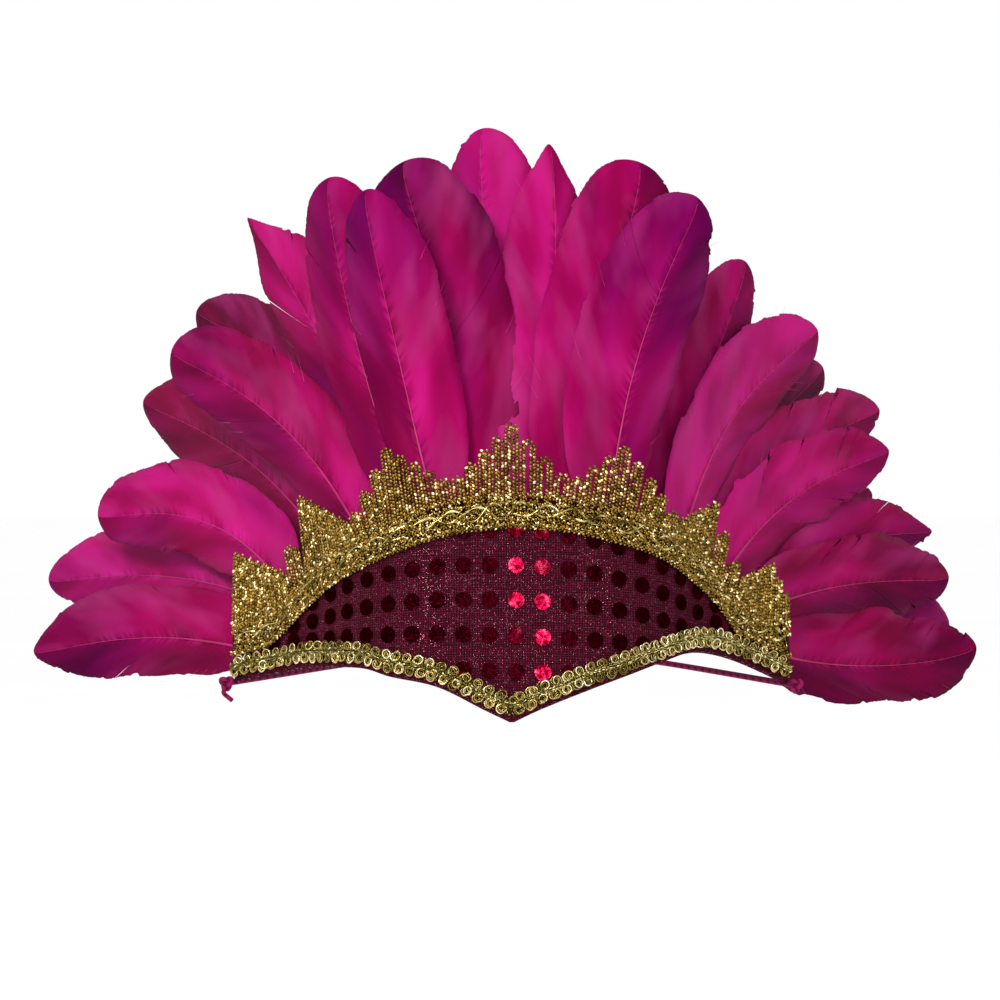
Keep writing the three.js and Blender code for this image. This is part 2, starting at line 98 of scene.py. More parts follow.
# Heights of the braid and of the foot of the lace: share of the half span, left, right
HEM = (
    (0, 0.074, 0.074),
    (0.08, 0.13, 0.13),
    (0.22, 0.232, 0.214),
    (0.38, 0.288, 0.303),
    (0.47, 0.33, 0.352),
    (0.6, 0.352, 0.414),
    (0.7, 0.362, 0.424),
    (0.82, 0.352, 0.396),
    (1, 0.318, 0.308),
)
ARCH = (
    (0, 0.86, 0.86),
    (0.17, 0.833, 0.842),
    (0.31, 0.78, 0.806),
    (0.46, 0.712, 0.758),
    (0.6, 0.648, 0.677),
    (0.72, 0.55, 0.573),
    (0.8, 0.462, 0.447),
    (0.9, 0.366, 0.37),
    (1, 0.318, 0.318),
)

# Crests and valleys of the lace, in turn: share of the half span, share of LACE_HEIGHT
LACE = (
    (-1, 1.05),
    (-0.807, 0.63),
    (-0.74, 1.2),
    (-0.522, 0.51),
    (-0.384, 1.05),
    (-0.178, 0.5),
    (0, 1),
    (0.175, 0.48),
    (0.344, 0.95),
    (0.547, 0.5),
    (0.718, 1.03),
    (0.818, 0.6),
    (0.939, 0.89),
)
LACE_END_RISE = 0.6

# Feathers: at, rise, turn, bend, length, width, lean, row, point, then how bright and how purple each is
# dyed
PLUMAGE = (
    (-0.87, 0.375, -86, -39, 0.78, 1, 0, 0, 0.5, 0.34, 0.5),
    (-0.81, 0.57, -79, -33, 1.04, 0.95, 8.5, 1, 0.2, 0.66, 0.4),
    (-0.785, 0.6, -67, -66, 0.84, 1, 3, 0, 0.1, 0.6, 0.35),
    (-0.58, 0.713, -57, -31, 1.13, 1.25, 2, 0, 0.6, 0.35, 0.1),
    (-0.458, 0.768, -48, -40, 0.95, 1, 1, 0, 0.1, 0.42, 0.3),
    (-0.532, 0.737, -43.5, -48, 1.18, 0.9, 4.6, 2, 0.2, 0.15, 0.3),
    (-0.416, 0.79, -30, -25, 1.16, 0.98, 8, 1, 0.9, 0.6, 0.1),
    (-0.266, 0.835, -16.5, 13, 0.98, 0.95, 3.5, 0, 0.1, 0.55, 0.35),
    (-0.2, 0.81, -13, -2, 0.9, 0.95, 0.5, 0, 0.3, 0.45, 0.6),
    (-0.133, 0.84, -10, -23, 0.99, 1.2, 4.8, 1, 0, 0.27, 0.6),
    (-0.045, 0.87, -2, -10, 1.08, 1.12, 9, 1, 0.2, 0.85, 0.1),
    (0.063, 0.865, 3, -5, 1, 0.95, 5.5, 1, 0.7, 0.66, 0.1),
    (0.156, 0.835, 12, 9, 0.98, 1.1, 4, 0, 0, 0.5, 0.25),
    (0.29, 0.815, 16.2, 28, 0.92, 1.1, 0, 0, 0.2, 0.45, 0.85),
    (0.45, 0.82, 29, -6, 0.96, 1, 7, 2, 0.3, 0.52, 0.35),
    (0.575, 0.75, 41.5, 40, 0.99, 1, 1, 0, 0.3, 0.75, 0.15),
    (0.626, 0.705, 47, 19, 1.03, 0.9, 7, 1, 0.2, 0.25, 0.4),
    (0.683, 0.685, 54, 38, 1.01, 0.95, 3.7, 1, 0.4, 0.5, 0.2),
    (0.732, 0.65, 56, 41, 0.82, 0.95, 1, 0, 0.5, 0.6, 0.25),
    (0.785, 0.61, 61, 21, 0.83, 0.8, 11.5, 2, 0.3, 0.35, 0.4),
    (0.818, 0.6, 70, 43, 0.83, 0.95, 5, 1, 0.8, 0.4, 0.5),
    (0.82, 0.54, 77, 29, 0.79, 0.9, 3, 0, 0.2, 0.26, 0.3),
    (0.89, 0.47, 83, 36, 0.78, 0.9, 9, 2, 0.3, 0.4, 0.6),
    (0.858, 0.43, 87, -17, 0.75, 1.02, 0, 0, 0.4, 0.22, 0.3),
    (-0.84, 0.54, -76, -40, 0.72, 0.9, 16, 2, 0.3, 0.4, 0.3),
    (-0.66, 0.68, -60, -40, 0.84, 0.9, 13, 1, 0.3, 0.35, 0.5),
    (-0.3, 0.8, -20, -10, 0.84, 0.9, 15, 2, 0.3, 0.45, 0.3),
    (-0.1, 0.8, -4, -6, 0.86, 0.95, 17, 2, 0.3, 0.6, 0.2),
    (0.11, 0.8, 7, 6, 0.88, 0.95, 12, 2, 0.3, 0.5, 0.4),
    (0.35, 0.79, 23, 12, 0.84, 0.95, 14, 2, 0.3, 0.4, 0.3),
    (0.54, 0.77, 38, 30, 0.86, 0.9, 16, 2, 0.3, 0.5, 0.2),
    (0.72, 0.7, 57, 34, 0.8, 0.9, 14, 2, 0.3, 0.4, 0.4),
)

# Half width of the vane: share of the length, share for a round tip, share for a sharp one
VANE = (
    (0.04, 0, 0),
    (0.08, 0.32, 0.32),
    (0.15, 0.6, 0.6),
    (0.27, 0.85, 0.85),
    (0.43, 0.97, 0.98),
    (0.62, 1.01, 0.99),
    (0.78, 0.98, 0.82),
    (0.89, 0.87, 0.55),
    (0.96, 0.64, 0.3),
    (1, 0, 0),
)


def column(rows, n):
    return np.array([row[n] for row in rows], float)


def smooth(keys, values, x):
    """Smooth values between the rows of a table."""
    low = np.maximum(np.arange(len(keys)) - 1, 0)
    high = np.minimum(np.arange(len(keys)) + 1, len(keys) - 1)
    slope = (values[high] - values[low]) / (keys[high] - keys[low])
    i = np.clip(np.searchsorted(keys, x) - 1, 0, len(keys) - 2)
    run = keys[i + 1] - keys[i]
    t = np.clip((x - keys[i]) / run, 0, 1)
    a = (2 * t**3 - 3 * t**2 + 1) * values[i] + (t**3 - 2 * t**2 + t) * run * slope[i]
    b = (3 * t**2 - 2 * t**3) * values[i + 1] + (t**3 - t**2) * run * slope[i + 1]
    return a + b


def plan(u):
    """Place and turn of the plate seen from above, u round the bend from the centre."""
    left = np.abs(u)
    x, y, angle = 0.0, 0.0, 0.0
    for length, turn in ARCS:
        run = np.minimum(left, length)
        bend = turn * run / length
        chord = run * np.sinc(bend / (2 * math.pi))
        x = x + chord * np.cos(angle + bend / 2)
        y = y + chord * np.sin(angle + bend / 2)
        angle = angle + bend
        left = left - run
    side = np.where(np.asarray(u) < 0, -1.0, 1.0)
    return side * x, y, side * angle


def worn(x, y, z):
    """Points drawn round an upright plan, leant back to where they are worn, in metres."""
    a = math.radians(LEAN_BACK)
    back = FRONT_Y + y * math.cos(a) + z * math.sin(a)
    up = z * math.cos(a) - y * math.sin(a) - ORIGIN_RISE
    return np.stack(np.broadcast_arrays(x, back, up), -1) * MM


def bent(u, v, w):
    """Points of the flat pattern: u round the bend, v up it and w out from the cloth."""
    x, y, angle = plan(u)
    return worn(x + w * np.sin(angle), y - w * np.cos(angle), v)


def span(across, inset=0.0):
    """From share across to u, from end to end of the plate but for an inset."""
    return (2 * across - 1) * (PLATE_HALF_SPAN - inset)


def height(rows, u):
    u = np.asarray(u, float)
    out = np.abs(u) / PLATE_HALF_SPAN
    left = smooth(column(rows, 0), column(rows, 1), out)
    right = smooth(column(rows, 0), column(rows, 2), out)
    return PLATE_HEIGHT * np.where(u < 0, left, right)


def hem(u):
    return height(HEM, u)


def foot(u):
    return np.maximum(height(ARCH, u), hem(u) + BRAID_WIDTH / 2 + TRIM_GAP)


def plate_top(u):
    t = np.clip((np.abs(u) / PLATE_HALF_SPAN - 0.6) / 0.4, 0, 1)
    end = t * t * (3 - 2 * t)
    return foot(u) + PLATE_BEHIND + (PLATE_END_BEHIND - PLATE_BEHIND) * end


def plate_low(u):
    return hem(u) - BRAID_WIDTH / 2 - RIM_SHOW


# Materials


class Finish:
    """A material and short ways to wire its nodes."""

    def __init__(self, name, **sockets):
        self.material = bpy.data.materials.new(name)
        self.material.use_nodes = True
        self.tree = self.material.node_tree
        self.shader = self.tree.nodes["Principled BSDF"]
        for key, value in sockets.items():
            self.shader.inputs[key.replace("_", " ")].default_value = value

    def node(self, kind, **settings):
        node = self.tree.nodes.new("ShaderNode" + kind)
        for key, value in settings.items():
            setattr(node, key, value)
        return node

    def link(self, a, b):
        self.tree.links.new(a, b)

    def place(self, uv=None, stretch=(1, 1, 1)):
        """Coordinates of the piece, or of its own pattern, stretched."""
        if uv:
            source = self.node("UVMap", uv_map=uv).outputs["UV"]
        else:
            source = self.node("TexCoord").outputs["Object"]
        mapping = self.node("Mapping")
        mapping.inputs["Scale"].default_value = stretch
        self.link(source, mapping.inputs["Vector"])
        return mapping.outputs["Vector"]

    def attribute(self, name, output="Fac"):
        return self.node("Attribute", attribute_name=name).outputs[output]

    def split(self, colour):
        """The red, green and blue of a colour."""
        split = self.node("SeparateColor")
        self.link(colour, split.inputs["Color"])
        return split.outputs

    def noise(self, place, scale, detail=2.0, roughness=0.5):
        noise = self.node("TexNoise")
        noise.inputs["Scale"].default_value = scale
        noise.inputs["Detail"].default_value = detail
        noise.inputs["Roughness"].default_value = roughness
        self.link(place, noise.inputs["Vector"])
        return noise.outputs["Fac"]

    def grains(self, fineness, detail, roughness=0.5):
        """Noise through the piece itself."""
        return self.noise(self.place(stretch=(fineness,) * 3), 1.0, detail, roughness)

    def cells(self, place, scale):
        cells = self.node("TexVoronoi")
        cells.inputs["Scale"].default_value = scale
        self.link(place, cells.inputs["Vector"])
        return cells.outputs

    def bands(self, place, scale, direction, distortion=0.0):
        bands = self.node("TexWave", bands_direction=direction)
        bands.inputs["Scale"].default_value = scale
        bands.inputs["Distortion"].default_value = distortion
        self.link(place, bands.inputs["Vector"])
        return bands.outputs["Fac"]

    def fill(self, socket, value):
        """Give a socket a number, a colour or what another node puts out."""
        if isinstance(value, (int, float)):
            socket.default_value = value
        elif isinstance(value, tuple):
            socket.default_value = (*value, 1)
        else:
            self.link(value, socket)

    def math(self, kind, a, b, clamp=False):
        math_node = self.node("Math", operation=kind, use_clamp=clamp)
        self.fill(math_node.inputs[0], a)
        self.fill(math_node.inputs[1], b)
        return math_node.outputs[0]

    def swing(self, pattern, amount):
        """A pattern as a change up and down."""
        return self.math("MULTIPLY", self.math("SUBTRACT", pattern, 0.5), amount)

    def ramp(self, factor, *stops):
        ramp = self.node("ValToRGB")
        while len(ramp.color_ramp.elements) < len(stops):
            ramp.color_ramp.elements.new(0.5)
        for element, (position, colour) in zip(ramp.color_ramp.elements, stops):
            element.position = position
            element.color = (*colour, 1)
        self.link(factor, ramp.inputs["Fac"])
        return ramp.outputs["Color"]

    def mix(self, factor, a, b):
        mix = self.node("Mix", data_type="RGBA")
        for name, kind, value in (("Factor", "VALUE", factor), ("A", "RGBA", a), ("B", "RGBA", b)):
            self.fill(next(s for s in mix.inputs if (s.name, s.type) == (name, kind)), value)
        return next(s for s in mix.outputs if s.type == "RGBA")

    def bump(self, heights, strength, distance):
        bump = self.node("Bump")
        bump.inputs["Strength"].default_value = strength
        bump.inputs["Distance"].default_value = distance
        self.link(heights, bump.inputs["Height"])
        self.link(bump.outputs["Normal"], self.shader.inputs["Normal"])

    def wire(self, output, socket):
        self.link(output, self.shader.inputs[socket])

    def mottle(self, pattern, dark, light):
        self.wire(self.ramp(pattern, (0.3, dark), (0.7, light)), "Base Color")


def grey(value):
    return (value, value, value)


def feather_finish():
    """Dyed goose vane: barb streaks, a paler painted glow by the shaft for light through the vane, a
    painted mauve sheen in patches, darker and purpler tips.
    """
    f = Finish("dyed_vane", Sheen_Weight=0.03, Sheen_Roughness=0.3, Specular_IOR_Level=0.08)
    f.shader.inputs["Sheen Tint"].default_value = (1, 0.12, 0.5, 1)
    f.shader.inputs["Specular Tint"].default_value = (1, 0.1, 0.5, 1)
    # The vane's colour attribute: dyed tone with painted light and shade in it, dyed purple, and painted
    # sheen
    dye_and_painted_light = f.split(f.attribute("dye_and_painted_light", "Color"))
    streaks = f.noise(f.place("barbs", (0.4, 30, 1)), 1.0, 5, 0.6)
    patches = f.noise(f.place("barbs", (0.55, 0.26, 1)), 1.0, 1.5)
    hues = f.noise(f.place("barbs", (0.5, 0.2, 1)), 0.9, 1)
    tone = f.math("ADD", dye_and_painted_light["Red"], f.swing(streaks, 0.16))
    tone = f.math("ADD", tone, f.swing(patches, 1.1), True)
    crimson = f.ramp(
        tone,
        (0.0, (0.06, 0.0, 0.008)),
        (0.35, (0.138, 0.0002, 0.026)),
        (0.65, (0.245, 0.0007, 0.062)),
        (1.0, (0.4, 0.006, 0.145)),
    )
    purple = f.ramp(
        tone, (0.0, (0.045, 0.0, 0.025)), (0.5, (0.13, 0.0005, 0.07)), (1.0, (0.28, 0.008, 0.155))
    )
    colour = f.mix(f.math("ADD", dye_and_painted_light["Green"], f.swing(hues, 1.4), True), crimson, purple)
    # Painted sheen: a pale mauve mixed over the colour in patches, as strongly as the vane's painted sheen
    # value asks
    painted_sheen_patches = f.noise(f.place("barbs", (0.42, 0.28, 1)), 1.1, 2, 0.5)
    painted_sheen = f.math("MULTIPLY", f.ramp(painted_sheen_patches, (0.46, grey(0)), (0.76, grey(0.6))), dye_and_painted_light["Blue"])
    f.wire(f.mix(painted_sheen, colour, (0.31, 0.028, 0.14)), "Base Color")
    f.wire(f.ramp(streaks, (0.3, grey(0.42)), (0.7, grey(0.58))), "Roughness")
    fine = f.bands(f.place("barbs", (1, 1, 1)), 9, "Y", 1.5)
    f.bump(f.math("ADD", streaks, f.math("MULTIPLY", fine, 0.25)), 0.3, 0.0005)
    return f.material


def shaft_finish(name, dark, light):
    f = Finish(name, Roughness=0.35, Specular_IOR_Level=0.3)
    f.mottle(f.grains(60, 2), dark, light)
    return f.material


def cloth_finish():
    """Dark maroon weave with fine metallic threads that sparkle."""
    f = Finish("glitter_weave", Specular_IOR_Level=0.03)
    place = f.place("pattern")
    warp = f.bands(place, 31, "X", 0.8)
    weft = f.bands(place, 34, "Y", 0.8)
    weave = f.math("MAXIMUM", warp, weft)
    slubs = f.noise(f.place("pattern", (14, 120, 1)), 1.0, 3)
    base = f.ramp(
        f.math("MULTIPLY", weave, f.math("ADD", slubs, 0.25)),
        (0.1, (0.005, 0.0003, 0.001)),
        (0.45, (0.026, 0.0015, 0.005)),
        (0.85, (0.07, 0.005, 0.018)),
    )
    cells = f.cells(place, 260)
    pick = f.split(cells["Color"])
    chance = f.math("ADD", pick["Red"], f.swing(f.noise(place, 5, 2), 0.35))
    speck = f.math("GREATER_THAN", chance, 0.83)
    close = f.math("LESS_THAN", cells["Distance"], 0.4)
    glint = f.math("MULTIPLY", speck, close)
    f.wire(f.mix(glint, base, (0.26, 0.08, 0.11)), "Base Color")
    f.wire(glint, "Metallic")
    f.wire(f.ramp(glint, (0.0, grey(0.9)), (1.0, grey(0.22))), "Roughness")
    f.bump(f.math("ADD", weave, f.math("MULTIPLY", pick["Green"], glint)), 0.5, 0.00025)
    return f.material


def sequin_finish():
    """Thin red foil, crumpled, with painted light: by its painted glint each sequin goes from a dull dark
    copy of the colour, painted shade, to a bright copy breaking into pale and dark facets, a painted
    highlight.
    """
    f = Finish("red_foil", Metallic=1.0, Roughness=0.22)
    f.shader.inputs["Specular Tint"].default_value = (0.3, 0.01, 0.03, 1)
    dents = f.grains(420, 3, 0.6)
    # Painted shade (dull) and painted highlight (bright): two copies of the foil colour
    dull = f.ramp(dents, (0.3, (0.006, 0.0, 0.0006)), (0.75, (0.026, 0.0002, 0.0025)))
    bright = f.ramp(
        dents, (0.38, (0.1, 0.0, 0.007)), (0.54, (0.42, 0.003, 0.035)), (0.7, (0.85, 0.07, 0.17))
    )
    f.wire(f.mix(f.math("POWER", f.attribute("glint"), 1.5), dull, bright), "Base Color")
    f.bump(dents, 0.8, 0.0007)
    return f.material


def gold_finish(name, dark, middle, light, roughness):
    """Metallic thread with painted glints: each wrap's base colour runs from dark to a pale painted
    highlight by its glint and a noise, in place of catching the light by itself.
    """
    f = Finish(name, Metallic=1.0)
    wraps = f.grains(1500, 2, 0.6)
    # Painted glint plus a noise over the wraps: partly random tone, partly painted highlight
    shine = f.math("ADD", f.attribute("glint"), f.swing(wraps, 0.9), True)
    f.wire(f.ramp(shine, (0.08, dark), (0.5, middle), (0.92, light)), "Base Color")
    f.wire(f.ramp(wraps, (0.3, grey(roughness + 0.12)), (0.7, grey(roughness))), "Roughness")
    f.bump(wraps, 0.6, 0.0003)
    return f.material


def ribbon_finish():
    """Flat tinsel with painted glints: a noise along it moves the base colour between a dull dark gold and
    a bright pale gold, standing in for where it turns to the light.
    """
    f = Finish("pale_gold_tinsel", Metallic=1.0, Roughness=0.2)
    turns = f.grains(330, 2)
    gold = f.ramp(
        turns, (0.38, (0.07, 0.045, 0.007)), (0.54, (0.4, 0.3, 0.08)), (0.7, (0.92, 0.84, 0.47))
    )
    f.wire(gold, "Base Color")
    f.bump(turns, 0.5, 0.0004)
    return f.material


def felt_finish():
    f = Finish("maroon_felt", Roughness=0.95, Specular_IOR_Level=0.1)
    fibres = f.grains(900, 5, 0.7)
    f.mottle(fibres, (0.035, 0.002, 0.008), (0.085, 0.007, 0.022))
    f.bump(fibres, 0.6, 0.0004)
    return f.material


def cord_finish():
    """Braided elastic: two sets of strands crossing round the cord."""
    f = Finish("braided_elastic", Roughness=0.75, Specular_IOR_Level=0.12)
    left = f.bands(f.place("braid", (1, 1, 1)), 1.0, "DIAGONAL")
    right = f.bands(f.place("braid", (-1, 1, 1)), 1.0, "DIAGONAL")
    strands = f.math("MAXIMUM", left, right)
    f.wire(f.ramp(strands, (0.2, (0.05, 0.0005, 0.014)), (0.8, (0.2, 0.003, 0.06))), "Base Color")
    f.bump(strands, 0.7, 0.0003)
    return f.material


def glue_finish():
    f = Finish("clear_glue", Roughness=0.25, Coat_Weight=0.5)
    f.mottle(f.grains(300, 2), (0.09, 0.008, 0.026), (0.2, 0.03, 0.07))
    return f.material


def floor_finish():
    f = Finish("pale_floor", Roughness=0.9)
    f.mottle(f.grains(3, 3), grey(0.98), grey(0.995))
    return f.material


# Pieces


def piece(name, mesh, finishes, nodes=()):
    for finish in finishes:
        mesh.materials.append(finish)
    made = bpy.data.objects.new(name, mesh)
    bpy.context.scene.collection.objects.link(made)
    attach(made, "root")
    if nodes:
        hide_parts(*nodes)
    return made


def mesh_of(bm, name, even=True):
    """The mesh of a bmesh, with its faces turned outwards."""
    if even:
        bmesh.ops.recalc_face_normals(bm, faces=bm.faces)
    mesh = bpy.data.meshes.new(name)
    bm.to_mesh(mesh)
    bm.free()
    mesh.shade_smooth()
    return mesh


def add_mesh(bm, mesh, finish=0):
    """Add a mesh to a bmesh, with its faces in one of the finishes of the piece."""
    before = len(bm.faces)
    bm.from_mesh(mesh)
    bpy.data.meshes.remove(mesh)
    bm.faces.ensure_lookup_table()
    for face in bm.faces[before:]:
        face.material_index = finish


def threads(name, lines, radius, sides, capped=True):
    """Round threads along lines of places, each with its girths, as one mesh."""
    curve = bpy.data.curves.new(name, "CURVE")
    curve.dimensions = "3D"
    curve.bevel_depth = radius
    curve.bevel_resolution = sides
    curve.use_fill_caps = capped
    for places, girths in lines:
        spline = curve.splines.new("POLY")
        spline.points.add(len(places) - 1)
        for point, place, girth in zip(spline.points, places, girths):
            point.co = (*place, 1)
            point.radius = girth
    holder = bpy.data.objects.new(name, curve)
    mesh = bpy.data.meshes.new_from_object(holder)
    bpy.data.objects.remove(holder)
    return mesh


def lay_flat(bm, pattern, flat):
    """Give the corners of each face their places on the flat pattern."""
    layer = bm.loops.layers.uv[pattern]
    for face in bm.faces:
        for loop in face.loops:
            loop[layer].uv = flat[loop.vert]


def grid(columns, rows, pattern, colour=None):
    """A flat grid, with its corners in order: column by column, each from low to high."""
    bm = bmesh.new()
    bm.loops.layers.uv.new(pattern)
    if colour:
        bm.verts.layers.float_color.new(colour)
    bmesh.ops.create_grid(bm, x_segments=columns - 1, y_segments=rows - 1, size=0.5)
    corners = sorted(bm.verts, key=lambda c: (round(c.co.x, 5), round(c.co.y, 5)))
    return bm, corners


def thickened(bm, thickness):
    """An open surface given a wall by a modifier."""
    mesh = bpy.data.meshes.new("wall")
    bm.to_mesh(mesh)
    bm.free()
    holder = bpy.data.objects.new("wall", mesh)
    bpy.context.scene.collection.objects.link(holder)
    wall = holder.modifiers.new("wall", "SOLIDIFY")
    wall.thickness = thickness
    solid = bmesh.new()
    solid.from_object(holder, bpy.context.evaluated_depsgraph_get())
    bpy.data.objects.remove(holder)
    bpy.data.meshes.remove(mesh)
    return solid


def shape_sheet(columns, rows, pattern, thickness, name):
    """A sheet bent to shape from a grid. pattern gives u, v, w for shares across and up."""
    bm, corners = grid(columns, rows, "pattern")
    across = np.repeat(np.linspace(0, 1, columns), rows)
    up = np.tile(np.linspace(0, 1, rows), columns)
    u, v, w = pattern(across, up)
    flat = {}
    for corner, place, a, b in zip(corners, bent(u, v, w), u, v):
        corner.co = place
        flat[corner] = (a * 0.01, b * 0.01)
    lay_flat(bm, "pattern", flat)
    bmesh.ops.recalc_face_normals(bm, faces=bm.faces)
    middle = bm.faces[:][len(bm.faces) // 2]
    if middle.normal.y > 0:
        bmesh.ops.reverse_faces(bm, faces=bm.faces)
    bmesh.ops.solidify(bm, geom=bm.faces[:], thickness=thickness * MM)
    return mesh_of(bm, name)


def grain():
    """A short soft-edged strand."""
    bm = bmesh.new()
    bmesh.ops.create_icosphere(bm, subdivisions=1, radius=0.5)
    return bm


def ring():
    """A curl of wire, one unit across at most."""
    bm = bmesh.new()
    section = bmesh.ops.create_circle(bm, segments=5, radius=0.085)["verts"]
    bmesh.ops.rotate(bm, verts=section, matrix=Matrix.Rotation(math.pi / 2, 3, "X"))
    bmesh.ops.translate(bm, verts=section, vec=(0.41, 0, 0))
    bmesh.ops.spin(
        bm, geom=bm.verts[:] + bm.edges[:], axis=(0, 0, 1), cent=(0, 0, 0),
        angle=2 * math.pi, steps=14, use_merge=True,
    )
    bmesh.ops.remove_doubles(bm, verts=bm.verts, dist=1e-5)
    bmesh.ops.recalc_face_normals(bm, faces=bm.faces)
    return bm


def disc():
    """A thin flat spangle in rings of small facets."""
    bm = bmesh.new()
    bmesh.ops.create_circle(bm, cap_ends=True, segments=14, radius=0.5)
    bmesh.ops.inset_region(bm, faces=bm.faces[:], thickness=0.15)
    bmesh.ops.inset_region(bm, faces=[f for f in bm.faces if len(f.verts) > 4], thickness=0.16)
    bmesh.ops.poke(bm, faces=[f for f in bm.faces if len(f.verts) > 4])
    bmesh.ops.solidify(bm, geom=bm.faces[:], thickness=0.03)
    bmesh.ops.recalc_face_normals(bm, faces=bm.faces)
    return bm


def scatter(shape, spots, name, jitter=0.0, seed=0):
    """Copies of a small shape on the flat pattern, bent to shape as one mesh.

    A spot is u, v, w, the angle on the pattern, a tilt out of it, its length, width and depth,
    and how much painted glint it gets.
    """
    corners = np.array([c.co for c in shape.verts])
    shape.verts.index_update()
    faces = [[c.index for c in f.verts] for f in shape.faces]
    shape.free()
    spots = np.asarray(spots, float)
    count, n = len(spots), len(corners)
    local = corners[None, :, :] * spots[:, None, 5:8]
    if jitter:
        rng = np.random.default_rng(seed)
        local = local + rng.normal(0, jitter, local.shape)
    tilt = spots[:, 4, None]
    x = local[:, :, 0] * np.cos(tilt) - local[:, :, 2] * np.sin(tilt)
    z = local[:, :, 0] * np.sin(tilt) + local[:, :, 2] * np.cos(tilt)
    angle = spots[:, 3, None]
    u = spots[:, 0, None] + x * np.cos(angle) - local[:, :, 1] * np.sin(angle)
    v = spots[:, 1, None] + x * np.sin(angle) + local[:, :, 1] * np.cos(angle)
    w = spots[:, 2, None] + z
    places = bent(u.ravel(), v.ravel(), w.ravel())
    copies = [[k + n * i for k in face] for i in range(count) for face in faces]
    mesh = bpy.data.meshes.new(name)
    mesh.from_pydata(places.tolist(), [], copies)
    mesh.shade_smooth()
    # Painted glint of each copy, which the finishes turn into a brighter base colour
    glint = mesh.attributes.new("glint", "FLOAT", "POINT")
    glint.data.foreach_set("value", np.repeat(spots[:, 8], n).astype(np.float32))
    return mesh


def glints(count, rng):
    """Painted glint values: mostly dull, with a bright one here and there."""
    bright = rng.uniform(0, 1, count)
    return np.where(bright > 0.9, rng.uniform(0.8, 1.1, count), 0.1 + 0.5 * bright)


def plaited(path, pitch, spread, lean, size, rng, lift=0.15):
    """Grains along a line of the pattern, leaning left and right in turn like a plait."""
    path = np.asarray(path, float)
    steps = np.hypot(*np.diff(path[:, :2], axis=0).T)
    run = np.concatenate([[0], np.cumsum(steps)])
    count = max(2, round(run[-1] / pitch))
    at = (np.arange(count) + 0.5) * run[-1] / count
    u, v, w = (np.interp(at, run, path[:, k]) for k in range(3))
    ahead = np.clip(at + 0.2, 0, run[-1])
    behind = np.clip(at - 0.2, 0, run[-1])
    du = np.interp(ahead, run, path[:, 0]) - np.interp(behind, run, path[:, 0])
    dv = np.interp(ahead, run, path[:, 1]) - np.interp(behind, run, path[:, 1])
    angle = np.arctan2(dv, du)
    turn = np.where(np.arange(count) % 2 == 0, 1.0, -1.0)
    u = u - np.sin(angle) * turn * spread + rng.normal(0, 0.06, count)
    v = v + np.cos(angle) * turn * spread + rng.normal(0, 0.06, count)
    w = w + rng.normal(0, lift * 0.5, count)
    angle = angle - turn * lean + rng.normal(0, 0.12, count)
    tilt = rng.normal(0, 0.25, count)
    swell = rng.uniform(0.85, 1.15, count)
    length, width, depth = (np.full(count, s) * swell for s in size)
    return np.column_stack([u, v, w, angle, tilt, length, width, depth, glints(count, rng)])


def grain_piece(name, spots, finish, jitter, seed, nodes=()):
    mesh = scatter(grain(), spots, name, jitter, seed)
    piece(name, mesh, [finish], nodes)


# Sequinned plate


def cloth_pattern(across, up):
    """Front cloth, turned over the edges of the stiffener."""
    turn, end_turn = 0.07, 0.012
    face = -0.4
    edge = np.clip(np.minimum(up, 1 - up) / turn, 0, 1)
    u = span(across)
    share = np.clip((up - turn) / (1 - 2 * turn), 0, 1)
    v = plate_low(u) + (plate_top(u) - plate_low(u)) * share
    puff = np.sin(edge * math.pi / 2)
    v = v + np.where(up < 0.5, 0.35, -0.35) * puff
    side = np.clip(np.minimum(across, 1 - across) / end_turn, 0, 1)
    w = face - (PLATE_THICKNESS + face) * (1 - puff * np.sin(side * math.pi / 2))
    return u, v, w


def sequin_spots(rng):
    spots = []
    radius = SEQUIN_DIAMETER / 2
    across = int(PLATE_HALF_SPAN / SEQUIN_PITCH)
    up = int(PLATE_HEIGHT / SEQUIN_ROW_PITCH)
    for row in range(up + 1):
        for k in range(-across, across + 1):
            u = SEQUIN_SHIFT + k * SEQUIN_PITCH
            level = SEQUIN_LOW_ROW + row * SEQUIN_ROW_PITCH
            side = u / PLATE_HALF_SPAN
            droop = 4 * SEQUIN_DROOP * side * side * (level - 2.4 * SEQUIN_ROW_PITCH)
            v = level - SEQUIN_TILT * u - droop
            if hem(u) + 2 < v < foot(u) + 0.7 * radius:
                angle = rng.uniform(0, 6.28)
                tilt = rng.normal(0, 0.02)
                # Painted glint: the two middle columns take it from the table, the others get a faint one
                # that fades away from the centre
                if k in (0, 1):
                    lit = PAINTED_GLINT[min(row, len(PAINTED_GLINT) - 1)][k]
                else:
                    lit = rng.uniform(0, 0.02) + 0.05 * math.exp(-((k - 0.5) ** 2) / 4)
                spots.append((u, v, 0.28, angle, tilt, *(SEQUIN_DIAMETER,) * 3, lit))
    return spots


def plate_cloth():
    cloth = shape_sheet(160, 40, cloth_pattern, 0.35, "plate_cloth")
    made = piece("plate_cloth", cloth, [cloth_finish()], ["front_plate"])


def back_pattern(across, up):
    """Felt on the back of the stiffener, set in from its edges."""
    inset = 1.2
    u = span(across, inset)
    v = plate_low(u) + inset + (plate_top(u) - plate_low(u) - 2 * inset) * up
    return u, v, -PLATE_THICKNESS + 0.2


def plate_back():
    felt = shape_sheet(100, 16, back_pattern, 0.4, "plate_back")
    made = piece("plate_back", felt, [felt_finish()])


def sequins():
    spots = sequin_spots(np.random.default_rng(5))
    discs = scatter(disc(), spots, "sequins", jitter=0.035, seed=8)
    discs.shade_flat()
    piece("sequins", discs, [sequin_finish()])


# Gold lace


def crest(at, rise):
    return foot(at * PLATE_HALF_SPAN) + rise * LACE_HEIGHT


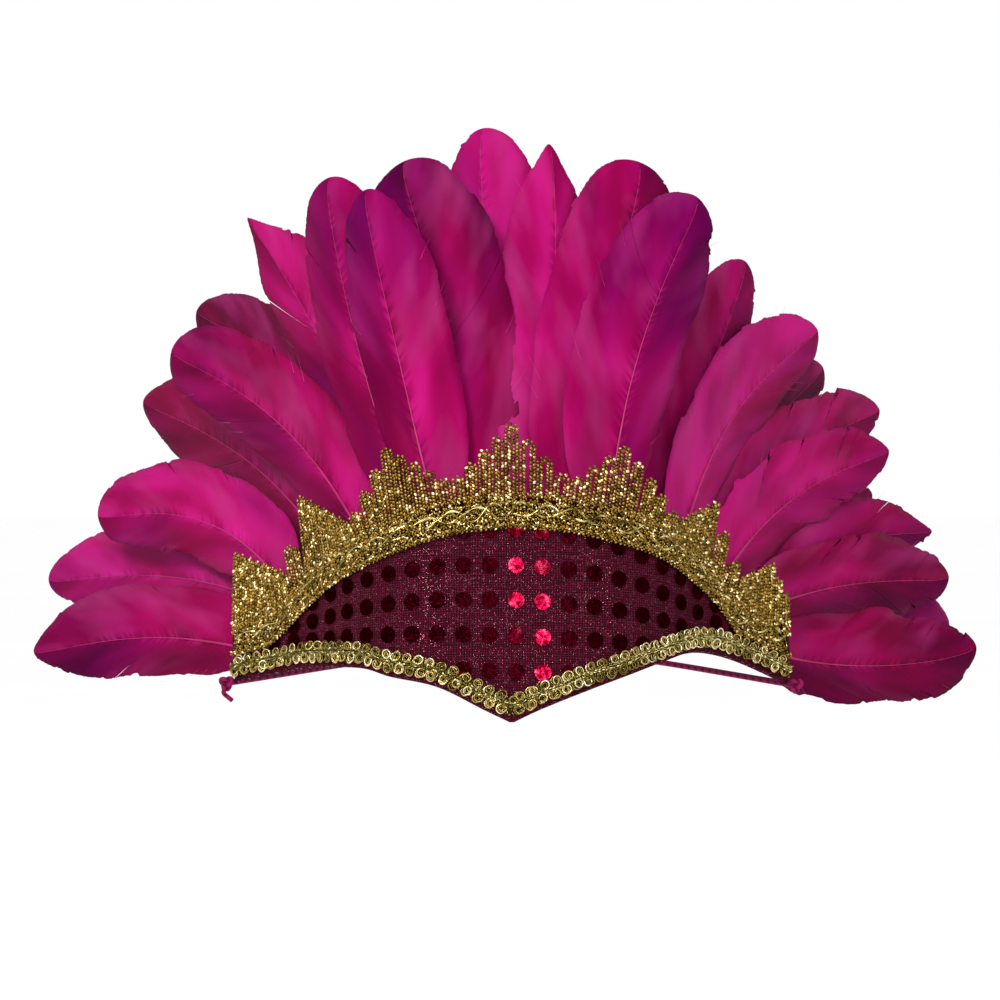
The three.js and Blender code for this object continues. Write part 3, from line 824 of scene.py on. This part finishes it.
def lace_fingers():
    """Left side, right side and top of each hairpin, left to right, as the solids have them."""
    valleys = [LACE[0], *LACE[1::2], (1, LACE_END_RISE)]
    fingers = []
    for n, top in enumerate(LACE[::2]):
        a = valleys[n][0] * PLATE_HALF_SPAN
        b = valleys[n + 1][0] * PLATE_HALF_SPAN
        width = (b - a) / LACE_FINGERS
        p = min(max(top[0] * PLATE_HALF_SPAN, a + width / 2), b - width / 2)
        before = math.floor((p - width / 2 - a) / width + 0.5)
        after = math.floor((b - p - width / 2) / width + 0.5)
        start = p - width / 2 if before else a
        stop = p + width / 2 if after else b
        low, high, end = crest(*valleys[n]), crest(*top), crest(*valleys[n + 1])
        for i in range(before):
            rise = low + (high - low) * (i + 0.5) / (before + 0.5)
            left = a + (start - a) * i / before
            fingers.append((left, a + (start - a) * (i + 1) / before, float(rise)))
        fingers.append((start, stop, float(high)))
        for i in range(after):
            rise = high + (end - high) * (i + 1) / (after + 0.5)
            left = stop + (b - stop) * i / after
            fingers.append((left, stop + (b - stop) * (i + 1) / after, float(rise)))
    return fingers


def splayed(u):
    return u * (1 - LACE_SPLAY * math.sin(math.pi * abs(u) / PLATE_HALF_SPAN))


def hairpin(left, right, top):
    """Up one leg, over the top and down the other."""
    low_left, low_right = splayed(left) + HAIRPIN_INSET, splayed(right) - HAIRPIN_INSET
    radius = max(0.45, (right - left) / 2 - HAIRPIN_INSET)
    middle = (left + right) / 2
    base = float(foot(middle)) + LACE_LEG * LACE_BAND
    path = [(low_left, base, 1.0)]
    for k in range(9):
        a = math.pi * (1 - k / 8)
        path.append((middle + radius * math.cos(a), top - 1.1 - radius * (1 - math.sin(a)), 1.15))
    path.append((low_right, base, 1.0))
    return path


def along_foot(rise, w):
    u = np.arange(-PLATE_HALF_SPAN, PLATE_HALF_SPAN + 0.5, 1.0)
    return np.column_stack([u, foot(u) + rise, np.full(len(u), w)])


def curls(rise, radius, pitch, w, rng):
    """A cord that loops forward like handwriting, at a height above the foot."""
    turns = int(2 * (PLATE_HALF_SPAN - radius) / pitch)
    t = np.linspace(0, turns, turns * 12)
    wobble = np.interp(t, np.arange(turns + 1), rng.uniform(0.8, 1.2, turns + 1))
    u = -PLATE_HALF_SPAN + radius + t * pitch + radius * wobble * np.sin(2 * math.pi * t)
    u = np.clip(u, -PLATE_HALF_SPAN, PLATE_HALF_SPAN)
    v = foot(u) + rise - radius * wobble * np.cos(2 * math.pi * t)
    return np.column_stack([u, v, w + 0.25 * np.sin(2 * math.pi * t)])


def on_plate(strands):
    """The grains that lie within the ends of the plate and clear of the hem braid."""
    spots = np.concatenate(strands)
    spots = spots[np.abs(spots[:, 0]) <= PLATE_HALF_SPAN]
    return spots[spots[:, 1] > hem(spots[:, 0]) + 1.5]


def between_fingers(one, two):
    """Lines up the middle of a hairpin and up the gap to the next one."""
    middle = (one[0] + one[1]) / 2
    base = float(foot(middle)) + LACE_LEG * LACE_BAND
    inner = [((splayed(one[0]) + splayed(one[1])) / 2, base, 0.7), (middle, one[2] - 2.2, 0.8)]
    edge = [(splayed(one[1]), base, 0.6), (one[1], min(one[2], two[2]) - 1.2, 0.7)]
    return inner, edge


def finger_strands(rng):
    """Plaited cord of the hairpins, of what fills them near the ends, and of short posts below."""
    size = (1.95, 1.4, 1.15)
    fingers = lace_fingers()
    strands = [plaited(hairpin(*finger), 0.72, 0.7, 0.7, size, rng) for finger in fingers]
    for one, two in zip(fingers, fingers[1:]):
        if abs(one[0] + one[1]) / 2 > 0.4 * PLATE_HALF_SPAN:
            for line in between_fingers(one, two):
                strands.append(plaited(line, 0.8, 0.6, 0.7, size, rng))
    for left, right, _ in fingers:
        for u in (splayed(left) + HAIRPIN_INSET, splayed(right) - HAIRPIN_INSET):
            if rng.uniform() < 0.35:
                continue
            v = float(foot(u))
            post = [(u, v + 0.55 * LACE_BAND, 1.0), (u, v + 0.74 * LACE_BAND, 1.1)]
            strands.append(plaited(post, 0.8, 0.45, 0.7, size, rng))
    return strands


def band_strands(rng):
    """Straight plaits and curled cords along the foot of the lace."""
    strands = []
    for rise, w in ((0.6, 1.0), (1.7, 1.2), (9.8, 1.1), (13.4, 1.2)):
        strands.append(plaited(along_foot(rise, w), 0.95, 0.35, 0.7, (1.7, 1.0, 1.0), rng))
    rows = ((2.9, 1.5, 2.6), (4.8, 1.7, 2.9), (6.8, 1.6, 2.7), (8.6, 1.5, 3.0), (11.6, 1.7, 4.4))
    for rise, radius, pitch in rows:
        path = curls(rise, radius, pitch, 1.35, rng)
        strands.append(plaited(path, 1.15, 0.16, 0.4, (1.6, 0.85, 0.85), rng))
    return strands


def ground_pattern(across, up):
    """The net that the cords are sewn to."""
    u = span(across, 0.5)
    return u, foot(u) + 0.6 + up * 9.4, 0.45


def lace_cords():
    rng = np.random.default_rng(21)
    # Dark, middle and painted highlight colours of the thread, chosen by the painted glint
    gold = gold_finish("gold_thread", (0.06, 0.03, 0.003), (0.33, 0.2, 0.036), (0.95, 0.79, 0.4), 0.26)
    fingers = on_plate(finger_strands(rng))
    grain_piece("lace_fingers", fingers, gold, 0.04, 3, ["crown_lace"])
    grain_piece("lace_band", on_plate(band_strands(rng)), gold, 0.04, 9)


def lace_ground():
    net = shape_sheet(200, 5, ground_pattern, 0.25, "lace_ground")
    shades = ((0.02, 0.008, 0.002), (0.06, 0.03, 0.006), (0.2, 0.12, 0.03))
    piece("lace_ground", net, [gold_finish("dark_gold_net", *shades, 0.45)])


def ribbon_pattern(phase, lift):
    """Wavy tinsel that bobs up and down and twists."""

    def pattern(across, up):
        u = span(across, 3)
        wave = 2 * math.pi * (u / 19.5 + phase) + 0.6 * np.sin(u / 11 + 3 * phase)
        drift = 0.5 * np.sin(u / 4.3 + 5 * phase) + 0.3 * np.sin(u / 1.7)
        v = foot(u) + 7 + 2.5 * np.sin(wave) + drift + (up - 0.5) * 0.95
        dip = 0.45 * np.sin(u / 3.1 + 9 * phase) + 0.3 * np.sin(u / 1.3)
        w = 1.85 + lift * np.cos(wave) + dip + (up - 0.5) * 0.6 * np.sin(u / 1.9)
        return u, v, w

    return pattern


def lace_ribbons():
    ribbons = bmesh.new()
    for phase, lift in ((0.0, 0.0), (0.5, 0.25)):
        add_mesh(ribbons, shape_sheet(420, 3, ribbon_pattern(phase, lift), 0.16, "lace_ribbon"))
    both = mesh_of(ribbons, "lace_ribbons", even=False)
    piece("lace_ribbons", both, [ribbon_finish()])


# Hem braid


def coiled_rings(rng):
    """Spots of the coiled wire: pairs of rings, each round a smaller one, in a row on either side."""
    rings = []
    pitch = 4.5
    count = int(2 * (PLATE_HALF_SPAN - 1.5) / pitch)
    for side in (-1, 1):
        for k in range(count + 1):
            u = -PLATE_HALF_SPAN + 2.2 + k * pitch + (0.5 * pitch if side > 0 else 0)
            if u > PLATE_HALF_SPAN - 2:
                continue
            lean = math.atan(float(hem(u + 0.5) - hem(u - 0.5)))
            for coil in (-1, 1):
                out = 2.25 + rng.normal(0, 0.15)
                a = u - side * out * math.sin(lean) + 0.4 * coil + rng.normal(0, 0.15)
                b = float(hem(u)) + side * out * math.cos(lean) + 0.2 * coil
                size = rng.uniform(3.9, 4.5)
                tilt = 0.2 * coil + rng.normal(0, 0.2)
                # Painted glint of the outer ring
                shine = rng.uniform(0.05, 0.8)
                spin = rng.uniform(0, 6.28)
                rings.append((a, b, 1.3 + 0.25 * coil, spin, tilt, size, size * 0.88, 4.0, shine))
                # The smaller ring inside gets half the glint: painted shade within the coil
                core = rng.uniform(2.2, 3.0)
                lean_in = rng.normal(0, 0.5)
                rings.append((a, b, 1.15, -spin, lean_in, core, core * 0.8, 3.4, 0.5 * shine))
    return rings


def plait_strands(rng):
    """Three rows of stitches that lean in turn, two bright threads on them, their glint painted and
    brighter right of the centre, and a cord at each edge.
    """
    strands = []
    for off, turn in ((-1.1, 0.75), (0, -0.75), (1.1, 0.75)):
        u = np.arange(-PLATE_HALF_SPAN + 0.5, PLATE_HALF_SPAN, 0.9)
        lean = np.arctan(hem(u + 0.5) - hem(u - 0.5))
        n = len(u)
        rows = [
            u - off * np.sin(lean), hem(u) + off * np.cos(lean), 1.35 + rng.normal(0, 0.08, n),
            lean + turn + rng.normal(0, 0.12, n), rng.normal(0, 0.18, n),
            np.full(n, 2.0), np.full(n, 0.8), np.full(n, 0.9), glints(n, rng),
        ]
        strands.append(np.column_stack(rows))
    u = np.linspace(-PLATE_HALF_SPAN + 0.5, PLATE_HALF_SPAN - 0.5, 260)
    for off in (-0.5, 0.6):
        line = np.column_stack([u, hem(u) + off + 0.25 * np.sin(u / 3.7 + off), np.full(len(u), 1.9)])
        bright = plaited(line, 1.6, 0.05, 0.1, (2.1, 0.45, 0.4), rng, 0.05)
        # Painted glint: the bright threads are painted brighter right of the centre
        bright[:, 8] += 0.35 * (bright[:, 0] > 4)
        strands.append(bright)
    for off in (-3.0, 3.0):
        line = np.column_stack([u, hem(u) + off, np.full(len(u), 0.75)])
        strands.append(plaited(line, 1.3, 0.3, 0.8, (1.7, 0.6, 0.6), rng, 0.05))
    return np.concatenate(strands)


def tape_pattern(across, up):
    """The dark tape under the braid."""
    u = span(across, 0.3)
    return u, hem(u) + (up - 0.5) * 5.2, 0.5


def braid_wires():
    rng = np.random.default_rng(4)
    # Dark, middle and painted highlight colours of the wire, chosen by the painted glint
    shades = ((0.1, 0.066, 0.011), (0.46, 0.34, 0.11), (0.95, 0.87, 0.56))
    pale = gold_finish("pale_gold_wire", *shades, 0.18)
    rings = scatter(ring(), coiled_rings(rng), "braid_curls")
    piece("braid_curls", rings, [pale], ["hem_braid"])
    # Dark, middle and painted highlight colours of the plait, chosen by the painted glint
    shades = ((0.06, 0.044, 0.007), (0.25, 0.19, 0.045), (0.85, 0.76, 0.38))
    green = gold_finish("plait_gold", *shades, 0.26)
    grain_piece("braid_plait", plait_strands(rng), green, 0.03, 6)


def braid_tape():
    tape = shape_sheet(200, 4, tape_pattern, 0.25, "braid_tape")
    shades = ((0.04, 0.028, 0.006), (0.12, 0.09, 0.02), (0.26, 0.2, 0.05))
    piece("braid_tape", tape, [gold_finish("dark_braid_tape", *shades, 0.45)])


# Feathers


class Feather:
    """Lines and surface of one feather, in its own shares of length and width."""

    def __init__(self, row):
        (self.at, self.rise, self.turn, self.bend, length, width,
         self.lean, self.row, self.point, self.tone, self.purple) = row
        self.length = length * FEATHER_LENGTH
        self.half = width * FEATHER_WIDTH / 2
        self.skew = SHAFT_SHIFT * math.copysign(1, self.turn)
        self.ragged = float(np.interp(self.at, (0.4, 0.7), (1, RAGGED_SIDE)))
        x, y, angle = (float(k) for k in plan(self.at * PLATE_HALF_SPAN))
        self.across = np.array([math.cos(angle), math.sin(angle), 0])
        self.out = np.array([math.sin(angle), -math.cos(angle), 0])
        self.depth = PLATE_THICKNESS + BACK_GAP + QUILL_DIAMETER / 2 + self.row * ROW_DEPTH
        self.root = np.array([x, y, self.rise * PLATE_HEIGHT]) - self.out * self.depth
        shares = np.linspace(0, 1, 201)
        middle = (shares[1:] + shares[:-1]) / 2
        steps = self.direction(middle) * (self.length / 200)
        self.shares = shares
        self.line = self.root + np.vstack([np.zeros(3), np.cumsum(steps, axis=0)])

    def direction(self, share):
        turn = np.radians(self.turn + self.bend * (share - 0.5))
        lean = np.radians(self.lean - FEATHER_CURL * (share - 0.5))
        flat = np.cos(turn)[:, None] * np.array([0, 0, 1.0]) + np.sin(turn)[:, None] * self.across
        return np.cos(lean)[:, None] * flat - np.sin(lean)[:, None] * self.out

    def half_width(self, share):
        keys = -np.sqrt(1 - column(VANE, 0))
        shape = column(VANE, 1) * (1 - self.point) + column(VANE, 2) * self.point
        return self.half * np.maximum(0, smooth(keys, shape, -np.sqrt(1 - share)))

    def shaft(self, share):
        """How far the shaft lies aside of the middle of the vane."""
        return self.skew * self.half_width(share)

    def surface(self, share, aside, lift=0.0):
        """Point a distance aside from the middle, in upright millimetres."""
        share = np.clip(share, 0, 1)
        place = np.stack([np.interp(share, self.shares, self.line[:, k]) for k in range(3)], -1)
        along = self.direction(share)
        side = np.cross(along, self.out)
        side /= np.linalg.norm(side, axis=1)[:, None]
        face = np.cross(side, along)
        far = np.abs(aside - self.shaft(share)) / self.half
        bow = -FEATHER_CAMBER * (0.4 * far + 0.6 * far**2) + lift
        return place + side * aside[:, None] + face * np.asarray(bow)[:, None]


def barb_rows(rng, splits):
    """Where each barb leaves the shaft. A barb beside a split comes twice, with the way it parts."""
    starts, parts, depths = [], [], []
    chosen = {}
    for _ in range(splits):
        gap = rng.uniform(0.1, 0.6) * (1 if rng.uniform() < 0.85 else 1.8)
        chosen[int(rng.uniform(0.25, 0.93) * BARBS)] = (rng.uniform(0.15, 0.55), gap)
    for k in range(BARBS):
        share = 0.04 + 0.96 * (k / (BARBS - 1)) ** 0.93
        if k in chosen:
            depth, gap = chosen[k]
            starts += [share, share]
            parts += [-gap, gap]
            depths += [depth, depth]
        else:
            starts.append(share)
            parts.append(0)
            depths.append(0)
    return np.array(starts), np.array(parts), np.array(depths)


def barb_end(share):
    """Where along the vane a barb ends that leaves the shaft at a share of it."""
    sweep = BARB_SWEEP * np.clip((share - 0.03) / 0.25, 0, 1)
    return share + sweep * (1 - share) / (1 + BARB_SWEEP - share)


def vane_side(feather, side, rng, splits, pattern):
    """One side of the vane as a grid whose columns are barbs."""
    starts, parts, depths = barb_rows(rng, splits)
    n = len(starts)
    bm, corners = grid(n, BARB_CORNERS, "barbs", "dye_and_painted_light")
    share = np.repeat(starts, BARB_CORNERS)
    t = np.tile(np.linspace(0, 1, BARB_CORNERS), n)
    ends = barb_end(share)
    # The worn edge: clumps of barbs stop early, and the tip is cut to its point
    clump = np.cumsum(rng.uniform(0, 1, n) < 0.13)
    uneven = feather.ragged * rng.normal(0, 0.4, n)[clump] + rng.normal(0, 0.1, n)
    uneven = np.repeat(uneven, BARB_CORNERS) * np.clip((1 - share) * 8, 0, 1)
    ripple = rng.uniform(0, 6.28, 2)
    hollow = 0.5 + 0.3 * np.sin(11 * ends + ripple[0]) + 0.2 * np.sin(23 * ends + ripple[1])
    ragged = rng.uniform(0.05, 0.16) * feather.ragged
    worn_away = 1.06 - ragged * hollow * np.clip(share * 4, 0, 1)
    sharpness = 0.7 * feather.point * rng.uniform(0.7, 1.3)
    pointed = 1 - sharpness * np.clip((ends - 0.84) / 0.16, 0, 1) ** 1.3
    reach = np.maximum(0, feather.half_width(ends) * worn_away * pointed + uneven)
    place = share + (ends - share) * t**1.2
    root = feather.shaft(share)
    aside = root + (side * reach - root) * t**0.95
    # Splits open from the edge, and the vane waves and folds a little
    depth = np.repeat(depths, BARB_CORNERS)
    part = np.repeat(parts, BARB_CORNERS)
    opened = np.clip((t - (1 - depth)) / np.maximum(depth, 1e-6), 0, 1) * (depth > 0)
    place = np.clip(place + part * opened**1.3 / feather.length, 0, 1)
    phase = rng.uniform(0, 6.28, 3)
    far = np.abs(aside - root) / feather.half
    wave = 0.8 * far * np.sin(6 * place + phase[0]) + 0.4 * far**2 * np.sin(15 * place + phase[1])
    wave *= feather.ragged
    fold = np.exp(-(((place - 0.3 - 0.07 * phase[2]) / 0.035) ** 2))
    lift = wave + 0.5 * opened * np.sin(phase[2] + part) + 0.7 * far * fold
    points = feather.surface(place, aside, lift)
    world = worn(*points.T)
    # Dyed colour and painted light: how bright, how purple and how much painted sheen
    dye_and_light_layer = bm.verts.layers.float_color["dye_and_painted_light"]
    tip = np.clip((place - 0.55) / 0.45, 0, 1)
    # Painted glow by the shaft, standing in for light coming through the vane
    glow = np.clip(1 - far * 1.6, 0, 1) * (1 - tip)
    # Painted light and shade: the half of the vane that faces up is painted lighter, less purple and with
    # more sheen, the half that faces down darker
    painted_light_side = -side * math.copysign(1, feather.turn) if abs(feather.turn) > 1 else 0
    tone = feather.tone + 0.16 * glow - 0.12 * tip + 0.12 * painted_light_side
    purple = np.clip(feather.purple * (0.3 + 0.9 * tip) - 0.12 * painted_light_side, 0, 1)
    # Painted sheen, stronger towards the edge of the vane
    painted_sheen = np.clip(0.25 + 0.75 * far + 0.3 * painted_light_side, 0, 1)
    out = far * feather.half * 0.1 + 9 * (side > 0) + pattern
    along = share * feather.length * 0.1
    flat = {}
    for k, corner in enumerate(corners):
        corner.co = world[k]
        corner[dye_and_light_layer] = (tone[k], purple[k], painted_sheen[k], 1)
        flat[corner] = (out[k], along[k])
    lay_flat(bm, "barbs", flat)
    gaps = [f for f in bm.faces if len({round(flat[c][1], 6) for c in f.verts}) == 1]
    bmesh.ops.delete(bm, geom=gaps, context="FACES_ONLY")
    bmesh.ops.delete(bm, geom=[e for e in bm.edges if not e.link_faces], context="EDGES")
    return bm


def shaft_mesh(feather):
    """The quill and shaft, tapering to the tip."""
    shares = np.linspace(0, 0.985, 36)
    girths = np.interp(shares, (0, 0.12, 0.4, 0.7, 1), (1.0, 0.7, 0.29, 0.14, 0.05))
    points = feather.surface(shares, feather.shaft(shares), girths * 0.35)
    return threads("shaft", [(worn(*points.T), girths)], QUILL_DIAMETER / 2 * MM, 1)


def stray_barbs(feather, rng):
    """Fluff by the quill and a few barbs that have come away from the vane, as fine hairs."""
    hairs = []
    for k in range(15):
        side = 1 if k % 2 else -1
        loose = k >= 10
        start = rng.uniform(0.1, 0.8) if loose else rng.uniform(0.04, 0.13)
        t = np.linspace(0.85 if loose else 0, 1.12 if loose else 1, 8)
        end = float(barb_end(start)) if loose else start + rng.uniform(0.03, 0.09)
        reach = float(feather.half_width(end)) if loose else rng.uniform(4, 9)
        share = np.clip(start + (end - start) * t**1.2, 0, 1)
        root = feather.shaft(np.full(8, start))
        aside = root + (side * reach - root) * t
        curl = 0.4 + rng.uniform(-1.5, 1.5) * (t - t[0]) ** 2
        points = feather.surface(share, aside, curl)
        hairs.append((worn(*points.T), np.linspace(1, 0.2, 8)))
    return threads("stray", hairs, 0.07 * MM, 0, capped=False)


def feather_mesh(feather, number):
    rng = np.random.default_rng(100 + number)
    bm = bmesh.new()
    for side in (-1, 1):
        half = vane_side(feather, side, rng, int(rng.uniform(0, 1.7)), 20 * number)
        add_mesh(bm, mesh_of(half, "half", even=False))
    bmesh.ops.remove_doubles(bm, verts=bm.verts, dist=2e-6)
    bmesh.ops.dissolve_degenerate(bm, edges=bm.edges, dist=1e-7)
    bmesh.ops.recalc_face_normals(bm, faces=bm.faces)
    bm = thickened(bm, 0.22 * MM)
    add_mesh(bm, shaft_mesh(feather), 1)
    add_mesh(bm, stray_barbs(feather, rng), 2)
    return mesh_of(bm, f"plume_{number:02d}", even=False)


def glue_blob(feather):
    """Bead of glue from the end of the quill to the back of the plate."""
    deep = feather.depth - PLATE_THICKNESS - 0.1
    bm = bmesh.new()
    bmesh.ops.create_icosphere(bm, subdivisions=2, radius=1)
    start, stop = feather.surface(np.array([0.0, 0.05]), np.zeros(2))
    middle = (start + stop) / 2 + feather.out * deep / 2
    along = (stop - start) / np.linalg.norm(stop - start)
    side = np.cross(along, feather.out)
    half = deep / 2 + 0.7
    for corner in bm.verts:
        a, b, c = corner.co
        out = feather.out * np.clip(c * half, -half, deep / 2)
        corner.co = worn(*(middle + along * a * 6.5 + side * b * 2.1 + out))
    return bm


def feather_pieces():
    finishes = [
        feather_finish(),
        shaft_finish("dyed_shaft", (0.22, 0.001, 0.05), (0.36, 0.007, 0.11)),
        shaft_finish("dyed_fluff", (0.25, 0.012, 0.09), (0.42, 0.06, 0.2)),
    ]
    glue = bmesh.new()
    for number, row in enumerate(PLUMAGE, 1):
        feather = Feather(row)
        mesh = feather_mesh(feather, number)
        piece(f"plume_{number:02d}", mesh, finishes, [f"feather_{number:02d}"])
        add_mesh(glue, mesh_of(glue_blob(feather), "bead", even=False))
    piece("quill_glue", mesh_of(glue, "quill_glue"), [glue_finish()])


# Cord elastic


def smooth_line(points, steps):
    """Centripetal curve through points, as the solid's own cord follows."""
    points = [np.array(p, float) for p in points]
    points = [2 * points[0] - points[1], *points, 2 * points[-1] - points[-2]]
    made = []
    for four in zip(points, points[1:], points[2:], points[3:]):
        t = [0.0]
        for a, b in zip(four, four[1:]):
            t.append(t[-1] + max(1e-9, np.linalg.norm(b - a)) ** 0.5)
        for s in np.linspace(t[1], t[2], steps, endpoint=False):
            level = four
            for spans in (((0, 1), (1, 2), (2, 3)), ((0, 2), (1, 3)), ((1, 2),)):
                pairs = zip(level, level[1:], spans)
                level = [a + (b - a) * (s - t[i]) / (t[j] - t[i]) for a, b, (i, j) in pairs]
            made.append(level[0])
    return [*made, points[-2]]


def braid_uv(mesh, line, radius):
    """Pattern round and along a cord, from where each corner lies on it."""
    line = np.array(line)
    run = np.concatenate([[0], np.cumsum(np.linalg.norm(np.diff(line, axis=0), axis=1))])
    along = np.gradient(line, axis=0)
    along /= np.linalg.norm(along, axis=1)[:, None]
    side = np.cross(along, (0, 0, 1.0))
    side /= np.maximum(1e-6, np.linalg.norm(side, axis=1))[:, None]
    up = np.cross(side, along)
    layer = mesh.uv_layers.new(name="braid")
    near = []
    for vert in mesh.vertices:
        k = int(np.argmin(((line - np.array(vert.co)) ** 2).sum(1)))
        off = np.array(vert.co) - line[k]
        near.append((run[k], math.atan2(off @ up[k], off @ side[k])))
    for face in mesh.polygons:
        angles = [near[mesh.loops[k].vertex_index][1] for k in face.loop_indices]
        for k, angle in zip(face.loop_indices, angles):
            if max(angles) - min(angles) > math.pi and angle < 0:
                angle += 2 * math.pi
            run_here = near[mesh.loops[k].vertex_index][0]
            layer.data[k].uv = (angle / (2 * math.pi), run_here / (2 * math.pi * radius))


def cord_mesh(line, radius, name, sides=3):
    """A round cord along a smooth line, with its braid pattern."""
    mesh = threads(name, [(line, np.ones(len(line)))], radius, sides)
    braid_uv(mesh, line, radius)
    return mesh


def knot_places():
    """Where the cord is tied, past the lower left and right corners of the plate."""
    u = PLATE_HALF_SPAN + TRIM_GAP + KNOT_DIAMETER / 2
    low = plate_low(np.array([-PLATE_HALF_SPAN, PLATE_HALF_SPAN]))
    return bent(np.array([-u, u]), low, -PLATE_THICKNESS / 2)


def back_cord(left, right, finish):
    radius = ELASTIC_DIAMETER / 2
    route = [left]
    for degrees in (145, 125, 105, 90, 75, 55, 35):
        a = math.radians(degrees)
        x = (HEAD_WIDTH / 2 + radius) * math.cos(a)
        y = (HEAD_DEPTH / 2 + radius) * math.sin(a)
        route.append(np.array([x, y, 0]) * MM)
    route.append(right)
    cord = cord_mesh(smooth_line(route, 24), radius * MM, "back_cord", 4)
    piece("back_cord", cord, [finish], ["back_elastic"])


def cord_knot(name, end, finish):
    """The cord pulled tight into an overhand knot."""
    loop = []
    bulge = 0.15 * KNOT_DIAMETER * MM
    for t in np.linspace(0, 2 * math.pi, 61):
        x = bulge * (math.sin(t) + 2 * math.sin(2 * t))
        y = -1.26 * bulge * math.sin(3 * t)
        z = bulge * (math.cos(t) - 2 * math.cos(2 * t))
        loop.append(end + np.array([x, y, z]))
    piece(name, cord_mesh(loop, 0.4 * ELASTIC_DIAMETER * MM, "knot"), [finish])


def cord_stub(end, finish):
    """The short cut end below the left knot."""
    knot = KNOT_DIAMETER / 2
    tail = [(-0.6, 0, -0.6), (-1.2, 0, -1.4), (0.6, 0.4, -2.1), (2.2, 1, -2.6)]
    tail = [end + np.array([x, y, z * knot]) * MM for x, y, z in tail]
    stub = cord_mesh(smooth_line(tail, 8), 0.36 * ELASTIC_DIAMETER * MM, "cord_stub")
    piece("cord_stub", stub, [finish])


def elastic_pieces():
    finish = cord_finish()
    left, right = knot_places()
    back_cord(left, right, finish)
    cord_knot("cord_knot_left", left, finish)
    cord_knot("cord_knot_right", right, finish)
    cord_stub(left, finish)


# Studio


def make_camera():
    data = bpy.data.cameras.new("camera")
    data.sensor_width = 36
    data.lens = 66.46
    data.clip_start = 0.05
    data.clip_end = 200
    camera = bpy.data.objects.new("camera", data)
    camera.location = (-0.0045, -0.797, 0.074)
    camera.rotation_euler = (math.radians(90), 0, 0)
    bpy.context.scene.collection.objects.link(camera)
    bpy.context.scene.camera = camera


def make_light(name, place, target, size, power):
    data = bpy.data.lights.new(name, "AREA")
    data.shape = "RECTANGLE"
    data.size, data.size_y = size
    data.energy = power
    light = bpy.data.objects.new(name, data)
    light.location = place
    aim = Vector(target) - Vector(place)
    light.rotation_euler = aim.to_track_quat("-Z", "Y").to_euler()
    bpy.context.scene.collection.objects.link(light)


def make_studio():
    world = bpy.data.worlds.new("soft_room")
    world.use_nodes = True
    glow = world.node_tree.nodes["Background"].inputs
    glow["Color"].default_value = (1, 1, 1, 1)
    glow["Strength"].default_value = 1.0
    bpy.context.scene.world = world
    bpy.context.scene.view_settings.view_transform = "Standard"
    make_light("front_box", (0.125, -1.7, 0.62), (0, -0.09, 0.04), (0.3, 0.42), 8)
    make_light("high_box", (-0.75, -1.0, 1.1), (0, -0.02, 0.08), (0.5, 0.4), 17)
    bm = bmesh.new()
    bmesh.ops.create_circle(bm, cap_ends=True, segments=64, radius=60)
    bmesh.ops.translate(bm, verts=bm.verts, vec=(0, 0, -0.5))
    mesh = mesh_of(bm, "floor", even=False)
    mesh.materials.append(floor_finish())
    floor = bpy.data.objects.new("floor", mesh)
    bpy.context.scene.collection.objects.link(floor)


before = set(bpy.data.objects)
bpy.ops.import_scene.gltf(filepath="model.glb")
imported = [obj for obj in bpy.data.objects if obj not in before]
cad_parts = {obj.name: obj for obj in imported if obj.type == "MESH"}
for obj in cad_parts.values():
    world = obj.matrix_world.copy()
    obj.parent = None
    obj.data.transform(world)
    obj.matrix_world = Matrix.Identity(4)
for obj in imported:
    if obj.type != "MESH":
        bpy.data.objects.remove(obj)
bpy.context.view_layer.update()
make_camera()
make_studio()
elastic_pieces()
plate_cloth()
plate_back()
sequins()
lace_cords()
lace_ground()
lace_ribbons()
braid_wires()
braid_tape()
feather_pieces()
